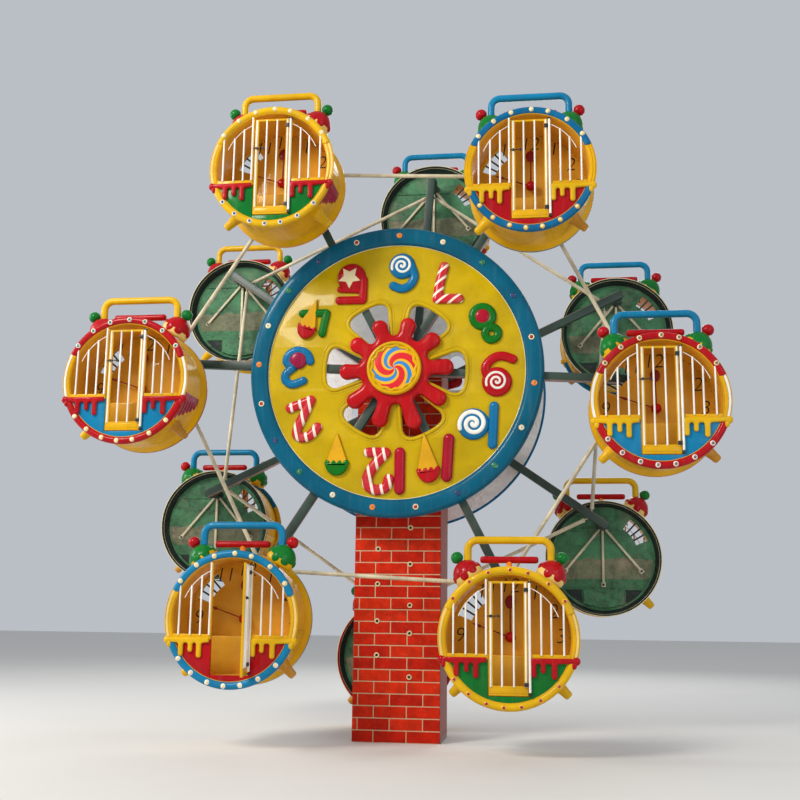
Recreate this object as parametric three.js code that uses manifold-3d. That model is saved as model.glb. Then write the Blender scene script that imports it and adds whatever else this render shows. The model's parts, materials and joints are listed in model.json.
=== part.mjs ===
// A fairground wheel with twelve round clock-shaped cabins, six on each side of a brick-clad column.
// Units are millimetres. X runs along the wheel, Y away from its front side, Z up. The origin is on the
// ground under the middle of the column. The wheel's axle lies along Y.

import * as THREE from 'three';
import { mergeVertices } from 'three/addons/utils/BufferGeometryUtils.js';
import Module from 'manifold-3d';

const wasm = await Module();
wasm.setup();

// Column
const COLUMN_WIDTH = 1050;
const COLUMN_DEPTH = 860;
const COLUMN_HEIGHT = 4640;
const HUB_HEIGHT = 4410;

// Axle, bearings and hubs
const AXLE_RADIUS = 80;
const AXLE_SIDES = 20;
const BEARING_RADIUS = 190;
const BEARING_DEPTH = 70;
const BEARING_FLANGE = 25;
const BEARING_TAPER = 50;
const RUNNING_GAP = 0.6;
const TUNNEL_RADIUS = 120;
const HUB_FLAT = 330;
const TUNNEL_SIDES = 16;

// Wheel frame
const ARMS = 6;
const FRONT_PHASE = -3;
const REAR_PHASE = 25.4;
const PIVOT_RADIUS = 3060;
const ARM_SIZE = 100;
const ARM_PLANE = 766;
const ARM_OVERRUN = 70;
const TIE_RADIUS = 2880;
const TIE_THICKNESS = 50;
const TIE_PLATE = 150;
const TIE_PLATE_DEPTH = 10;
const PIN_RADIUS = 35;
const PIN_SIDES = 8;
const COLLAR_RADIUS = 75;
const COLLAR_DEPTH = 34;
const PIN_END_GAP = 8;
const SIXTH = 360 / ARMS;

// Clock dial
const DIAL_RADIUS = 1800;
const DIAL_SIDES = 32;
const DIAL_RIM_INNER = 1580;
const DIAL_FACE_DEPTH = 30;
const DIAL_RIM_DEPTH = 90;
const DIAL_EDGE_DEPTH = 30;
const DIAL_RIM_FLAT = 0.6;
const FAN_INNER = 400;
const FAN_OUTER = 870;
const FAN_HALF_ANGLE = 21;
const FAN_TAPER = 0.8;
const STAR_RADIUS = 660;
const STAR_VALLEY = 430;
const STAR_DEPTH = 90;
const STAR_FINGERS = 10;
const CAP_RADIUS = 320;
const CAP_HEIGHT = 60;
const CAP_SIDES = 16;

// Cabin, in its own frame: y is 0 at the middle of the front rim tube and grows towards the wheel,
// and z is 0 at the middle of the drum
const CABIN_PLANE = 1762;
const CABIN_HANG = 425;
const DRUM_RADIUS = 700;
const DRUM_SIDES = 16;
const RIM_RADIUS = 761;
const RIM_TUBE = 45;
const BACK_RADIUS = 754;
const DRUM_BACK = 777;
const BACK_FLARE = 640;
const BACK_LIP = 35;
const BACK_LIP_WIDTH = 25;
const FASCIA_FRONT = -20;
const FASCIA_BACK = 25;
const CAVITY_RADIUS = 662;
const WALL_FRONT = 612;
const WALL_BACK = 652;
const FLOOR_LEVEL = -605;
const BENCH_LEVEL = -190;
const BENCH_DEPTH = 222;
const SILL_LEVEL = -165;
const JAMB_WIDTH = 32;
const BACK_WINDOW = { inner: 470, outer: 630, from: 125, to: 158 };
const DOOR_HALF_WIDTH = 210;
const DOOR_BOTTOM = -597;
const DOOR_TOP = 600;
const DOOR_THICKNESS = 30;
const DOOR_STILE = 45;
const LIGHT_BOTTOM = -495;
const LIGHT_TOP = 575;
const DOOR_GAP = 8;
const DOOR_OPEN = 100;
const STRAP_HEIGHTS = [-480, 510];
const STRAP_HALF_WIDTH = 22;
const STRAP_SINK = 8;
const POST = { x: DOOR_HALF_WIDTH + 18, y: -42, radius: 14, low: -560, high: 590 };
const LUG_REACH = 18;
const LUG_THICKNESS = 20;
const OPEN_DOOR_CABIN = 5;
const RED_BELL_CABINS = [3, 4, 6, 9, 11, 12];
const SPOKE = 45;
const SPOKE_LENGTH = 800;
const SPOKE_SPREAD = 40;
const BOSS_RADIUS = 80;
const BOSS_END = 858;
const CLOCKWORK_PLANE = 370;
const BELL_ANGLE = 34;
const BELL_RADIUS = 170;
const BELL_BASE = 750;
const BELL_TOP = 985;
const BELL_SHOULDER = 30;
const BELL_CURVE = 130;
const BELL_STEM = 36;
const BELL_SIDES = 8;
const KNOB_CENTRE = 1040;
const KNOB_RADIUS = 70;
const KNOB_NECK = 34;
const KNOB_BAND = 26;
const KNOB_CROWN = 30;
const HANDLE_REACH = 462;
const HANDLE_HEIGHT = 1062;
const HANDLE_TUBE = 43;
const HANDLE_BEND = 110;
const HANDLE_FOOT = 780;
const HAMMER_HEIGHT = 845;
const HAMMER_LENGTH = 650;
const HAMMER_RADIUS = 40;
const HAMMER_STEM = 40;
const FOOT_ANGLE = 44;
const FOOT_TIP = 900;
const FOOT_ROOT_RADIUS = 80;
const FOOT_TIP_RADIUS = 50;

// Gap between touching pieces, overlap of joined shapes, overshoot of cuts, and half a cutting block
const SEAT = 0.3;
const OVERLAP = 5;
const OVERSHOOT = 10;
const BEYOND = 900;

const GOLD = 0xe0a21a;
const RED = 0xc4161c;
const GREEN = 0x1f9a3c;
const YELLOW = 0xf2c318;
const STEEL = 0x47524a;
const CREAM = 0xcfc5ac;
const BRICK = 0xb5331c;

const rad = THREE.MathUtils.degToRad;
const root = new THREE.Group();

// Turns a closed three.js geometry into a solid that can be joined and cut
function solid(geometry) {
  const bare = geometry.index ? geometry.toNonIndexed() : geometry.clone();
  bare.deleteAttribute('normal');
  bare.deleteAttribute('uv');
  const merged = mergeVertices(bare, 1e-3);
  const triVerts = new Uint32Array(merged.index.array);
  const kept = [];
  for (let i = 0; i < triVerts.length; i += 3) {
    const [a, b, c] = triVerts.slice(i, i + 3);
    if (a !== b && b !== c && c !== a) kept.push(a, b, c);
  }
  const made = new wasm.Manifold(new wasm.Mesh({
    numProp: 3,
    vertProperties: new Float32Array(merged.attributes.position.array),
    triVerts: new Uint32Array(kept),
  }));
  return made.volume() < 0 ? flipped(merged, kept) : made;
}

// The same solid with its triangles turned round, for an outline that was drawn the other way
function flipped(merged, kept) {
  const turned = [];
  for (let i = 0; i < kept.length; i += 3) turned.push(kept[i], kept[i + 2], kept[i + 1]);
  return new wasm.Manifold(new wasm.Mesh({
    numProp: 3,
    vertProperties: new Float32Array(merged.attributes.position.array),
    triVerts: new Uint32Array(turned),
  }));
}

function geometryOf(manifold) {
  const mesh = manifold.getMesh();
  const positions = [];
  for (const v of mesh.triVerts) {
    const at = v * mesh.numProp;
    positions.push(...mesh.vertProperties.slice(at, at + 3));
  }
  const geometry = new THREE.BufferGeometry();
  geometry.setAttribute('position', new THREE.Float32BufferAttribute(positions, 3));
  const welded = mergeVertices(geometry, 1e-4);
  welded.computeVertexNormals();
  return welded;
}

function union(pieces) {
  return pieces.reduce((sum, piece) => sum.add(piece));
}

// A box given by its two corners
function block(x0, x1, y0, y1, z0, z1) {
  const box = new THREE.BoxGeometry(x1 - x0, y1 - y0, z1 - z0);
  box.translate((x0 + x1) / 2, (y0 + y1) / 2, (z0 + z1) / 2);
  return solid(box);
}

// A round solid about the Y axis from a closed or axis-to-axis outline of [radius, y] points
function turned(points, sides, phase = 0) {
  const outline = points.map(([r, y]) => new THREE.Vector2(r, y));
  const lathe = new THREE.LatheGeometry(outline, sides);
  lathe.rotateY(rad(phase));
  return solid(lathe);
}

function disc(radius, y0, y1, sides, phase = 0) {
  return turned([[0, y0], [radius, y0], [radius, y1], [0, y1]], sides, phase);
}

// An outline in the XZ plane carried along Y from y0 to y1
function plate(shape, y0, y1, curveSegments = 6) {
  const sheet = new THREE.ExtrudeGeometry(shape, { depth: y1 - y0, bevelEnabled: false, curveSegments });
  sheet.rotateX(Math.PI / 2);
  sheet.translate(0, y1, 0);
  return solid(sheet);
}

// A straight round bar between two points
function bar(from, to, radius, sides, endRadius = radius) {
  const span = new THREE.Vector3().subVectors(to, from);
  const rod = new THREE.CylinderGeometry(endRadius, radius, span.length(), sides);
  rod.applyQuaternion(new THREE.Quaternion().setFromUnitVectors(
    new THREE.Vector3(0, 1, 0), span.clone().normalize()));
  rod.translate(...from.clone().add(to).multiplyScalar(0.5).toArray());
  return solid(rod);
}

// A point in a plane of constant y, from an angle above +X and a radius
function polar(radius, degrees, y = 0) {
  return new THREE.Vector3(radius * Math.cos(rad(degrees)), y, radius * Math.sin(rad(degrees)));
}

// Turns a solid about the Y axis, so that what lay along +X points at the given angle above +X
function spun(piece, degrees) {
  return piece.rotate([0, -degrees, 0]);
}

function addMesh(group, name, manifold, color, roughness = 0.4, metalness = 0) {
  const material = new THREE.MeshStandardMaterial({ color, roughness, metalness });
  const mesh = new THREE.Mesh(geometryOf(manifold), material);
  mesh.name = name;
  group.add(mesh);
}

// Column and bearings

function column() {
  const half = { x: COLUMN_WIDTH / 2, y: COLUMN_DEPTH / 2 };
  const body = block(-half.x, half.x, -half.y, half.y, 0, COLUMN_HEIGHT);
  const tunnel = disc(TUNNEL_RADIUS, -half.y - OVERSHOOT, half.y + OVERSHOOT, TUNNEL_SIDES);
  return body.subtract(tunnel.translate([0, 0, HUB_HEIGHT]));
}

function bearing() {
  const sides = AXLE_SIDES;
  const bore = (AXLE_RADIUS + RUNNING_GAP) / Math.cos(Math.PI / sides);
  const face = COLUMN_DEPTH / 2 + SEAT;
  const ring = [[bore, face], [BEARING_RADIUS, face], [BEARING_RADIUS, face + BEARING_FLANGE],
    [BEARING_RADIUS - BEARING_TAPER, face + BEARING_DEPTH], [bore, face + BEARING_DEPTH], [bore, face]];
  return turned(ring, sides, 180 / sides);
}

// Axle with a six-sided hub at each end

function hub(phase, side) {
  const corner = HUB_FLAT / Math.cos(Math.PI / ARMS);
  const near = ARM_PLANE - ARM_SIZE / 2;
  const prism = disc(corner, near, near + ARM_SIZE, ARMS);
  const placed = side < 0 ? prism.mirror([0, 1, 0]) : prism;
  return spun(placed, phase + 180 / ARMS + 90);
}

function axle() {
  const shaft = disc(AXLE_RADIUS, -ARM_PLANE, ARM_PLANE, AXLE_SIDES);
  return union([shaft, hub(FRONT_PHASE, -1), hub(REAR_PHASE, 1)]);
}

// Arm at an angle above +X, with the pin at its end that carries a cabin. The pin's corners face the
// flats of the cabin's bore at rest.

function arm(side, degrees) {
  const half = ARM_SIZE / 2;
  const beam = block(HUB_FLAT + SEAT, PIVOT_RADIUS + ARM_OVERRUN, -half, half, -half, half);
  const collar = disc(COLLAR_RADIUS, half - OVERLAP, half + COLLAR_DEPTH, PIN_SIDES);
  const reach = CABIN_PLANE - ARM_PLANE - WALL_BACK - PIN_END_GAP;
  const pin = disc(PIN_RADIUS, half - OVERLAP, reach, PIN_SIDES, 180 / PIN_SIDES);
  const outward = beam.add(spun(collar.add(pin), -degrees).translate([PIVOT_RADIUS, 0, 0]));
  const facing = side < 0 ? outward.mirror([0, 1, 0]) : outward;
  return spun(facing.translate([0, side * ARM_PLANE, 0]), degrees);
}

// Six round bars in a hexagon, with a plate on each arm's outer face

function tieRing(phase, side) {
  const face = ARM_PLANE + ARM_SIZE / 2 + SEAT;
  const middle = face + TIE_THICKNESS / 2 + TIE_PLATE_DEPTH - OVERLAP;
  const half = TIE_PLATE / 2;
  const pieces = [];
  for (let i = 0; i < ARMS; i += 1) {
    const [from, to] = [polar(TIE_RADIUS, i * SIXTH, middle), polar(TIE_RADIUS, (i + 1) * SIXTH, middle)];
    pieces.push(bar(from, to, TIE_THICKNESS / 2, 6));
    const pad = block(TIE_RADIUS - half, TIE_RADIUS + half, face, face + TIE_PLATE_DEPTH,
      -half / 2, half / 2);
    pieces.push(spun(pad, i * SIXTH));
  }
  const ring = union(pieces);
  return spun(side < 0 ? ring.mirror([0, 1, 0]) : ring, phase);
}

// Clock dial: a flat face with six fan-shaped openings and a round rim

function fan() {
  const shape = new THREE.Shape();
  const half = rad(FAN_HALF_ANGLE);
  shape.absarc(0, 0, FAN_OUTER, -half, half, false);
  shape.absarc(0, 0, FAN_INNER, half * FAN_TAPER, -half * FAN_TAPER, true);
  shape.closePath();
  return shape;
}

function dial(phase, side) {
  const back = ARM_PLANE + ARM_SIZE / 2 + SEAT;
  const middle = (DIAL_RIM_INNER + DIAL_RADIUS) / 2;
  const flat = (DIAL_RADIUS - DIAL_RIM_INNER) / 2 * DIAL_RIM_FLAT;
  const whole = turned([[0, back], [DIAL_RADIUS, back], [DIAL_RADIUS, back + DIAL_EDGE_DEPTH],
    [middle + flat, back + DIAL_RIM_DEPTH], [middle - flat, back + DIAL_RIM_DEPTH],
    [DIAL_RIM_INNER, back + DIAL_FACE_DEPTH], [0, back + DIAL_FACE_DEPTH]], DIAL_SIDES);
  let cut = whole;
  for (let i = 0; i < ARMS; i += 1) {
    const opening = plate(fan(), back - OVERSHOOT, back + DIAL_FACE_DEPTH + OVERSHOOT, 3);
    cut = cut.subtract(spun(opening, i * SIXTH));
  }
  const facing = side < 0 ? cut.mirror([0, 1, 0]) : cut;
  return spun(facing, phase);
}

// Splash-shaped boss with ten blunt fingers and a round cap, on the middle of the dial

function splashOutline() {
  const shape = new THREE.Shape();
  const step = 360 / STAR_FINGERS;
  const corners = [[-0.5, STAR_VALLEY], [-0.28, STAR_VALLEY], [-0.14, STAR_RADIUS], [0.14, STAR_RADIUS],
    [0.28, STAR_VALLEY]];
  for (let i = 0; i < STAR_FINGERS; i += 1) {
    for (const [turn, radius] of corners) {
      const at = polar(radius, (i + 0.5 + turn) * step);
      if (i === 0 && turn === -0.5) shape.moveTo(at.x, at.z);
      else shape.lineTo(at.x, at.z);
    }
  }
  shape.closePath();
  return shape;
}

function star(phase, side) {
  const face = ARM_PLANE + ARM_SIZE / 2 + SEAT + DIAL_FACE_DEPTH + SEAT;
  const splash = plate(splashOutline(), face, face + STAR_DEPTH);
  const base = face + STAR_DEPTH - OVERLAP;
  const top = face + STAR_DEPTH + CAP_HEIGHT;
  const cap = turned([[0, base], [CAP_RADIUS, base], [CAP_RADIUS, top - CAP_HEIGHT / 2],
    [CAP_RADIUS - CAP_HEIGHT, top], [0, top]], CAP_SIDES);
  const whole = splash.add(cap);
  const facing = side < 0 ? whole.mirror([0, 1, 0]) : whole;
  return spun(facing, phase);
}

// Cabin drum with its fascia, rim tube, back wall, floor and bench

function cavity() {
  const room = turned([[0, FASCIA_BACK], [CAVITY_RADIUS, FASCIA_BACK], [CAVITY_RADIUS, WALL_FRONT],
    [0, WALL_FRONT]], DRUM_SIDES);
  const floor = block(-BEYOND, BEYOND, -BEYOND, BEYOND, -BEYOND, FLOOR_LEVEL);
  const bench = block(-BEYOND, BEYOND, WALL_FRONT - BENCH_DEPTH, BEYOND, -BEYOND, BENCH_LEVEL);
  return room.subtract(floor).subtract(bench);
}

// The open front: everything inside the rim above the sill, apart from a jamb at each side of the door
function frontOpening() {
  const [front, back] = [FASCIA_FRONT - OVERSHOOT, FASCIA_BACK + OVERSHOOT];
  const jamb = DOOR_HALF_WIDTH + DOOR_GAP;
  const round = disc(CAVITY_RADIUS, front, back, DRUM_SIDES);
  const below = block(-BEYOND, BEYOND, -BEYOND, BEYOND, -BEYOND, SILL_LEVEL);
  const post = block(jamb, jamb + JAMB_WIDTH, -BEYOND, BEYOND, -BEYOND, BEYOND);
  return round.subtract(below).subtract(post).subtract(post.mirror([1, 0, 0]));
}

// Ring-sector opening high in the back wall, on the left when facing the door
function backWindow() {
  const shape = new THREE.Shape();
  const { inner, outer, from, to } = BACK_WINDOW;
  shape.absarc(0, 0, outer, rad(from), rad(to), false);
  shape.absarc(0, 0, inner, rad(to), rad(from), true);
  shape.closePath();
  return plate(shape, WALL_FRONT - OVERSHOOT, WALL_BACK + OVERSHOOT, 2);
}

function doorway() {
  const half = DOOR_HALF_WIDTH + DOOR_GAP;
  return block(-half, half, FASCIA_FRONT - OVERSHOOT, FASCIA_BACK + OVERSHOOT, DOOR_BOTTOM - DOOR_GAP, 0);
}

// Lugs on the right jamb that hold the ends of the door's hinge post
function hingeLugs() {
  const [left, right] = [POST.x - LUG_REACH, POST.x + LUG_REACH];
  const lug = (base) => block(left, right, POST.y - LUG_REACH, FASCIA_FRONT + OVERLAP,
    base, base + LUG_THICKNESS);
  return [lug(POST.low - SEAT - LUG_THICKNESS), lug(POST.high + SEAT)];
}

function spider() {
  const pivot = new THREE.Vector3(0, 0, CABIN_HANG);
  const pieces = [];
  const face = WALL_BACK - OVERLAP;
  for (const degrees of [-90 - SPOKE_SPREAD, -90, SPOKE_SPREAD - 90]) {
    const spoke = block(0, SPOKE_LENGTH, face, face + SPOKE, -SPOKE / 2, SPOKE / 2);
    pieces.push(spun(spoke, degrees).translate(pivot.toArray()));
  }
  pieces.push(disc(BOSS_RADIUS, face, BOSS_END, PIN_SIDES).translate(pivot.toArray()));
  return union(pieces);
}

function feet() {
  return [-FOOT_ANGLE, 180 + FOOT_ANGLE].map((degrees) =>
    bar(polar(DRUM_RADIUS - 20, degrees, CLOCKWORK_PLANE), polar(FOOT_TIP, degrees, CLOCKWORK_PLANE),
      FOOT_ROOT_RADIUS, 5, FOOT_TIP_RADIUS));
}

function hammer() {
  const half = HAMMER_LENGTH / 2;
  const head = bar(new THREE.Vector3(-half, CLOCKWORK_PLANE, HAMMER_HEIGHT),
    new THREE.Vector3(half, CLOCKWORK_PLANE, HAMMER_HEIGHT), HAMMER_RADIUS, 6);
  const stem = block(-HAMMER_STEM, HAMMER_STEM, CLOCKWORK_PLANE - HAMMER_STEM, CLOCKWORK_PLANE + HAMMER_STEM,
    DRUM_RADIUS - 25, HAMMER_HEIGHT);
  return [head, stem];
}

function drum() {
  const rim = RIM_RADIUS - RIM_TUBE;
  const outer = turned([[0, FASCIA_FRONT], [rim - RIM_TUBE, FASCIA_FRONT], [rim, -RIM_TUBE], [RIM_RADIUS, 0],
    [DRUM_RADIUS, RIM_TUBE], [DRUM_RADIUS, BACK_FLARE], [BACK_RADIUS, DRUM_BACK - BACK_LIP],
    [BACK_RADIUS, DRUM_BACK],
    [BACK_RADIUS - BACK_LIP_WIDTH, DRUM_BACK], [CAVITY_RADIUS, WALL_BACK], [0, WALL_BACK]], DRUM_SIDES);
  const shell = outer.subtract(cavity()).subtract(doorway());
  const open = shell.subtract(frontOpening()).subtract(backWindow());
  const dressed = union([open, spider(), ...feet(), ...hammer(), ...hingeLugs()]);
  const bore = (PIN_RADIUS + RUNNING_GAP) / Math.cos(Math.PI / PIN_SIDES);
  const hole = disc(bore, WALL_BACK, BOSS_END + OVERSHOOT, PIN_SIDES);
  return dressed.subtract(hole.translate([0, 0, CABIN_HANG]));
}

// Door: a narrow leaf with a tall open light, hung on a post at its right edge

function door() {
  const half = DOOR_HALF_WIDTH;
  const front = FASCIA_FRONT - 4;
  const leaf = block(-half, half, front, front + DOOR_THICKNESS, DOOR_BOTTOM, DOOR_TOP);
  const light = block(DOOR_STILE - half, half - DOOR_STILE, front - OVERSHOOT, 100,
    LIGHT_BOTTOM, LIGHT_TOP);
  const post = bar(new THREE.Vector3(POST.x, POST.y, POST.low), new THREE.Vector3(POST.x, POST.y, POST.high),
    POST.radius, 6);
  const straps = STRAP_HEIGHTS.map((z) => block(half - DOOR_STILE, POST.x, POST.y - STRAP_SINK,
    FASCIA_FRONT - SEAT, z - STRAP_HALF_WIDTH, z + STRAP_HALF_WIDTH));
  return union([leaf.subtract(light), post, ...straps]);
}

// Two bells with knobs, and the carrying handle whose legs stand on them

function bell(degrees) {
  const foot = DRUM_RADIUS - 50;
  const outline = [[0, foot], [BELL_STEM, foot], [BELL_STEM, BELL_BASE], [BELL_RADIUS, BELL_BASE],
    [BELL_RADIUS - BELL_SHOULDER, BELL_BASE + BELL_CURVE], [KNOB_NECK, BELL_TOP],
    [KNOB_RADIUS, KNOB_CENTRE - KNOB_BAND], [KNOB_RADIUS, KNOB_CENTRE + KNOB_BAND],
    [KNOB_CROWN, KNOB_CENTRE + KNOB_RADIUS], [0, KNOB_CENTRE + KNOB_RADIUS]];
  const upright = turned(outline, BELL_SIDES).rotate([90, 0, 0]);
  return upright.rotate([0, 90 - degrees, 0]).translate([0, CLOCKWORK_PLANE, 0]);
}

// Half of the carrying handle's centre line, from a bell up to the middle of the top bar
function handleSide(side) {
  const points = [new THREE.Vector3(side * HANDLE_REACH, CLOCKWORK_PLANE, HANDLE_FOOT)];
  for (let i = 0; i <= 2; i += 1) {
    const a = rad(i * 45);
    const x = HANDLE_REACH - HANDLE_BEND + HANDLE_BEND * Math.cos(a);
    const z = HANDLE_HEIGHT - HANDLE_BEND + HANDLE_BEND * Math.sin(a);
    points.push(new THREE.Vector3(side * x, CLOCKWORK_PLANE, z));
  }
  return points;
}

function handle() {
  const points = [...handleSide(-1), ...handleSide(1).reverse()];
  const path = new THREE.CatmullRomCurve3(points, false, 'centripetal');
  const section = new THREE.Shape();
  section.absarc(0, 0, HANDLE_TUBE, 0, 2 * Math.PI, false);
  return solid(new THREE.ExtrudeGeometry(section, { steps: 10, curveSegments: 3, extrudePath: path }));
}

function bells() {
  const seat = disc(DRUM_RADIUS + SEAT, RIM_TUBE, BACK_FLARE, DRUM_SIDES);
  return union([bell(90 - BELL_ANGLE), bell(90 + BELL_ANGLE), handle()]).subtract(seat);
}

// Assembly

function addCabin(number, phase, side) {
  const label = String(number).padStart(2, '0');
  const group = new THREE.Group();
  const pivot = polar(PIVOT_RADIUS, phase);
  group.position.set(pivot.x, side * CABIN_PLANE, HUB_HEIGHT + pivot.z - CABIN_HANG);
  if (side > 0) group.rotation.z = Math.PI;
  addMesh(group, `cabin_${label}_drum`, drum(), GOLD, 0.35);
  addMesh(group, `cabin_${label}_bells`, bells(), RED_BELL_CABINS.includes(number) ? RED : GREEN, 0.3);
  const leaf = door();
  const isOpen = number === OPEN_DOOR_CABIN;
  const swung = isOpen
    ? leaf.translate([-POST.x, -POST.y, 0]).rotate([0, 0, DOOR_OPEN]).translate([POST.x, POST.y, 0])
    : leaf;
  addMesh(group, `cabin_${label}_door`, swung, YELLOW, 0.35);
  root.add(group);
}

addMesh(root, 'column', column(), BRICK, 0.6);
addMesh(root, 'bearing_front', bearing().mirror([0, 1, 0]).translate([0, 0, HUB_HEIGHT]), STEEL, 0.5, 0.6);
addMesh(root, 'bearing_rear', bearing().translate([0, 0, HUB_HEIGHT]), STEEL, 0.5, 0.6);

const wheel = new THREE.Group();
wheel.position.z = HUB_HEIGHT;
root.add(wheel);
addMesh(wheel, 'axle', axle(), STEEL, 0.5, 0.6);
for (const [name, phase, side] of [['front', FRONT_PHASE, -1], ['rear', REAR_PHASE, 1]]) {
  for (let i = 0; i < ARMS; i += 1) {
    addMesh(wheel, `${name}_arm_${i + 1}`, arm(side, phase + i * SIXTH), STEEL, 0.5, 0.6);
  }
  addMesh(wheel, `${name}_ties`, tieRing(phase, side), CREAM, 0.5, 0.4);
  addMesh(wheel, `${name}_dial`, dial(phase, side), YELLOW, 0.35);
  addMesh(wheel, `${name}_star`, star(phase, side), RED, 0.3);
}

for (let i = 0; i < ARMS; i += 1) {
  addCabin(i + 1, FRONT_PHASE + i * SIXTH, -1);
  addCabin(i + 1 + ARMS, REAR_PHASE + i * SIXTH, 1);
}

export default root;
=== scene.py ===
"""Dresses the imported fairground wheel: a brick-clad column, two candy clock dials and twelve clock cabins.

Everything is in metres in the frame's own axes: X to the right of the front side, Y away from it, Z up.
Shapes of a wheel side or of a cabin are made once, facing -Y, and then set in their places.
"""
import json
import logging
import math
from collections.abc import Callable, Hashable, Iterable, Sequence
from dataclasses import dataclass, field, replace
from enum import Enum

import bmesh
import bpy
from mathutils import Matrix, Vector

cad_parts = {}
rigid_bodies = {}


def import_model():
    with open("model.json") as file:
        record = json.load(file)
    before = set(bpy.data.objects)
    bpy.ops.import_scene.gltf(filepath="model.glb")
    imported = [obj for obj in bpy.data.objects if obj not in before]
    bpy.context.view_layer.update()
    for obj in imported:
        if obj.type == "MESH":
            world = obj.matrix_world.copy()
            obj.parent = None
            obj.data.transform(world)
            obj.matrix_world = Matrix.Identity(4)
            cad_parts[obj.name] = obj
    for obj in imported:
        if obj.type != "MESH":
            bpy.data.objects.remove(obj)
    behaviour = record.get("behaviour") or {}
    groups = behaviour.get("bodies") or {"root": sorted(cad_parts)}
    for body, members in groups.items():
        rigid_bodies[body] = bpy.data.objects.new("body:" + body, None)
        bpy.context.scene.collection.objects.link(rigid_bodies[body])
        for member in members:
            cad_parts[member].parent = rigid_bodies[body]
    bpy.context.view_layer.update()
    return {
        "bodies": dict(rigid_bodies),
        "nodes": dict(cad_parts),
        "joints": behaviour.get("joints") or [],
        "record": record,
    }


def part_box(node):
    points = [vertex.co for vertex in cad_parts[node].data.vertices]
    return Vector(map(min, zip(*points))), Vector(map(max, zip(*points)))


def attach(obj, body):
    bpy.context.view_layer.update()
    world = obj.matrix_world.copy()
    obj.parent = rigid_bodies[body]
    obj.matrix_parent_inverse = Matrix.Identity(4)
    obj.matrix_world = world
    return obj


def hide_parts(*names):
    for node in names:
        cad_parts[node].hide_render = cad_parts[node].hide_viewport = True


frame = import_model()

LOG = logging.getLogger("wheel")

Colour = tuple[float, float, float]
Pair = tuple[float, float]
Triple = tuple[float, float, float]

SAME_SPOT = 2e-5
LONG_EDGE = 0.05
SHARP_CORNER = 1.2
DISC_STEPS = 72
UPRIGHT = Matrix.Rotation(math.pi / 2, 4, "X")


def linear(code: str) -> Colour:
    """Gives the scene-linear colour of a six-digit sRGB code, such as "f0b41e"."""
    parts = [int(code[i:i + 2], 16) / 255 for i in (0, 2, 4)]
    return tuple(p / 12.92 if p <= 0.04045 else ((p + 0.055) / 1.055) ** 2.4 for p in parts)


def shaded(colour: Colour, by: float) -> Colour:
    """Gives a colour made lighter or darker by a factor."""
    return tuple(min(1.0, part * by) for part in colour)


def polar(radius: float, degrees: float) -> Pair:
    """Gives the (x, z) of a radius and an angle above +X."""
    return radius * math.cos(math.radians(degrees)), radius * math.sin(math.radians(degrees))


def about_y(degrees: float) -> Matrix:
    """Turns +X towards +Z."""
    return Matrix.Rotation(-math.radians(degrees), 4, "Y")


def shift(x: float = 0.0, y: float = 0.0, z: float = 0.0) -> Matrix:
    """Gives the matrix of a shift."""
    return Matrix.Translation((x, y, z))


def arc(radius: float, start: float, end: float, steps: int) -> list[Pair]:
    """Gives points on a circle about the origin, from one angle above +X to another, one more than steps."""
    return [polar(radius, start + (end - start) * i / steps) for i in range(steps + 1)]


def smooth(points: Sequence[Pair]) -> list[Pair]:
    """Gives a smooth line through points.

    Args:
        points: Two or more points.

    Returns:
        The line's own points, six spans for each of the given ones, with the first and last as given.
    """
    steps = 6
    spots = [Vector(p) for p in (points[0], *points, points[-1])]
    line = [points[0]]
    for before, first, last, after in zip(spots, spots[1:], spots[2:], spots[3:]):
        for i in range(1, steps + 1):
            t = i / steps
            leave, arrive = (last - before) / 2, (after - first) / 2
            line.append(tuple(first * (2 * t ** 3 - 3 * t ** 2 + 1) + leave * (t ** 3 - 2 * t ** 2 + t)
                              + last * (3 * t ** 2 - 2 * t ** 3) + arrive * (t ** 3 - t ** 2)))
    return line


def bent(first: Pair, corner: Pair, last: Pair, steps: int) -> list[Pair]:
    """Gives a curve from one point to another that leaves and arrives on lines through a corner."""
    a, b, c = Vector(first), Vector(corner), Vector(last)
    return [tuple(a.lerp(b, i / steps).lerp(b.lerp(c, i / steps), i / steps)) for i in range(steps + 1)]


class Shade:
    """A shader socket that takes part in sums, products and comparisons."""

    def __init__(self, sheet: "Sheet", socket: bpy.types.NodeSocket) -> None:
        """Keeps the socket and the sheet that it belongs to."""
        self.sheet = sheet
        self.socket = socket

    def _math(self, operation: str, *values: "Shade | float") -> "Shade":
        """Adds one Math node."""
        return self.sheet.out("ShaderNodeMath", 0, {"operation": operation}, dict(enumerate(values)))

    def __add__(self, other: "Shade | float") -> "Shade":
        """Adds."""
        return self._math("ADD", self, other)

    __radd__ = __add__

    def __mul__(self, other: "Shade | float") -> "Shade":
        """Multiplies."""
        return self._math("MULTIPLY", self, other)

    def __sub__(self, other: "Shade | float") -> "Shade":
        """Subtracts."""
        return self._math("SUBTRACT", self, other)

    def __gt__(self, other: "Shade | float") -> "Shade":
        """Is 1 where this is the greater."""
        return self._math("GREATER_THAN", self, other)

    def size(self) -> "Shade":
        """Drops the sign."""
        return self._math("ABSOLUTE", self)

    def sine(self) -> "Shade":
        """Takes the sine."""
        return self._math("SINE", self)

    def root(self) -> "Shade":
        """Takes the square root."""
        return self._math("SQRT", self)

    def angle_to(self, other: "Shade") -> "Shade":
        """Takes the angle whose tangent is this over the other."""
        return self._math("ARCTAN2", self, other)

    def step(self, low: float, high: float) -> "Shade":
        """Rises smoothly from 0 to 1 between two values."""
        return self.sheet.out("ShaderNodeMapRange", "Result", {"interpolation_type": "SMOOTHSTEP"},
                              {"Value": self, "From Min": low, "From Max": high})


Value = Shade | float | Sequence[float]


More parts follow.
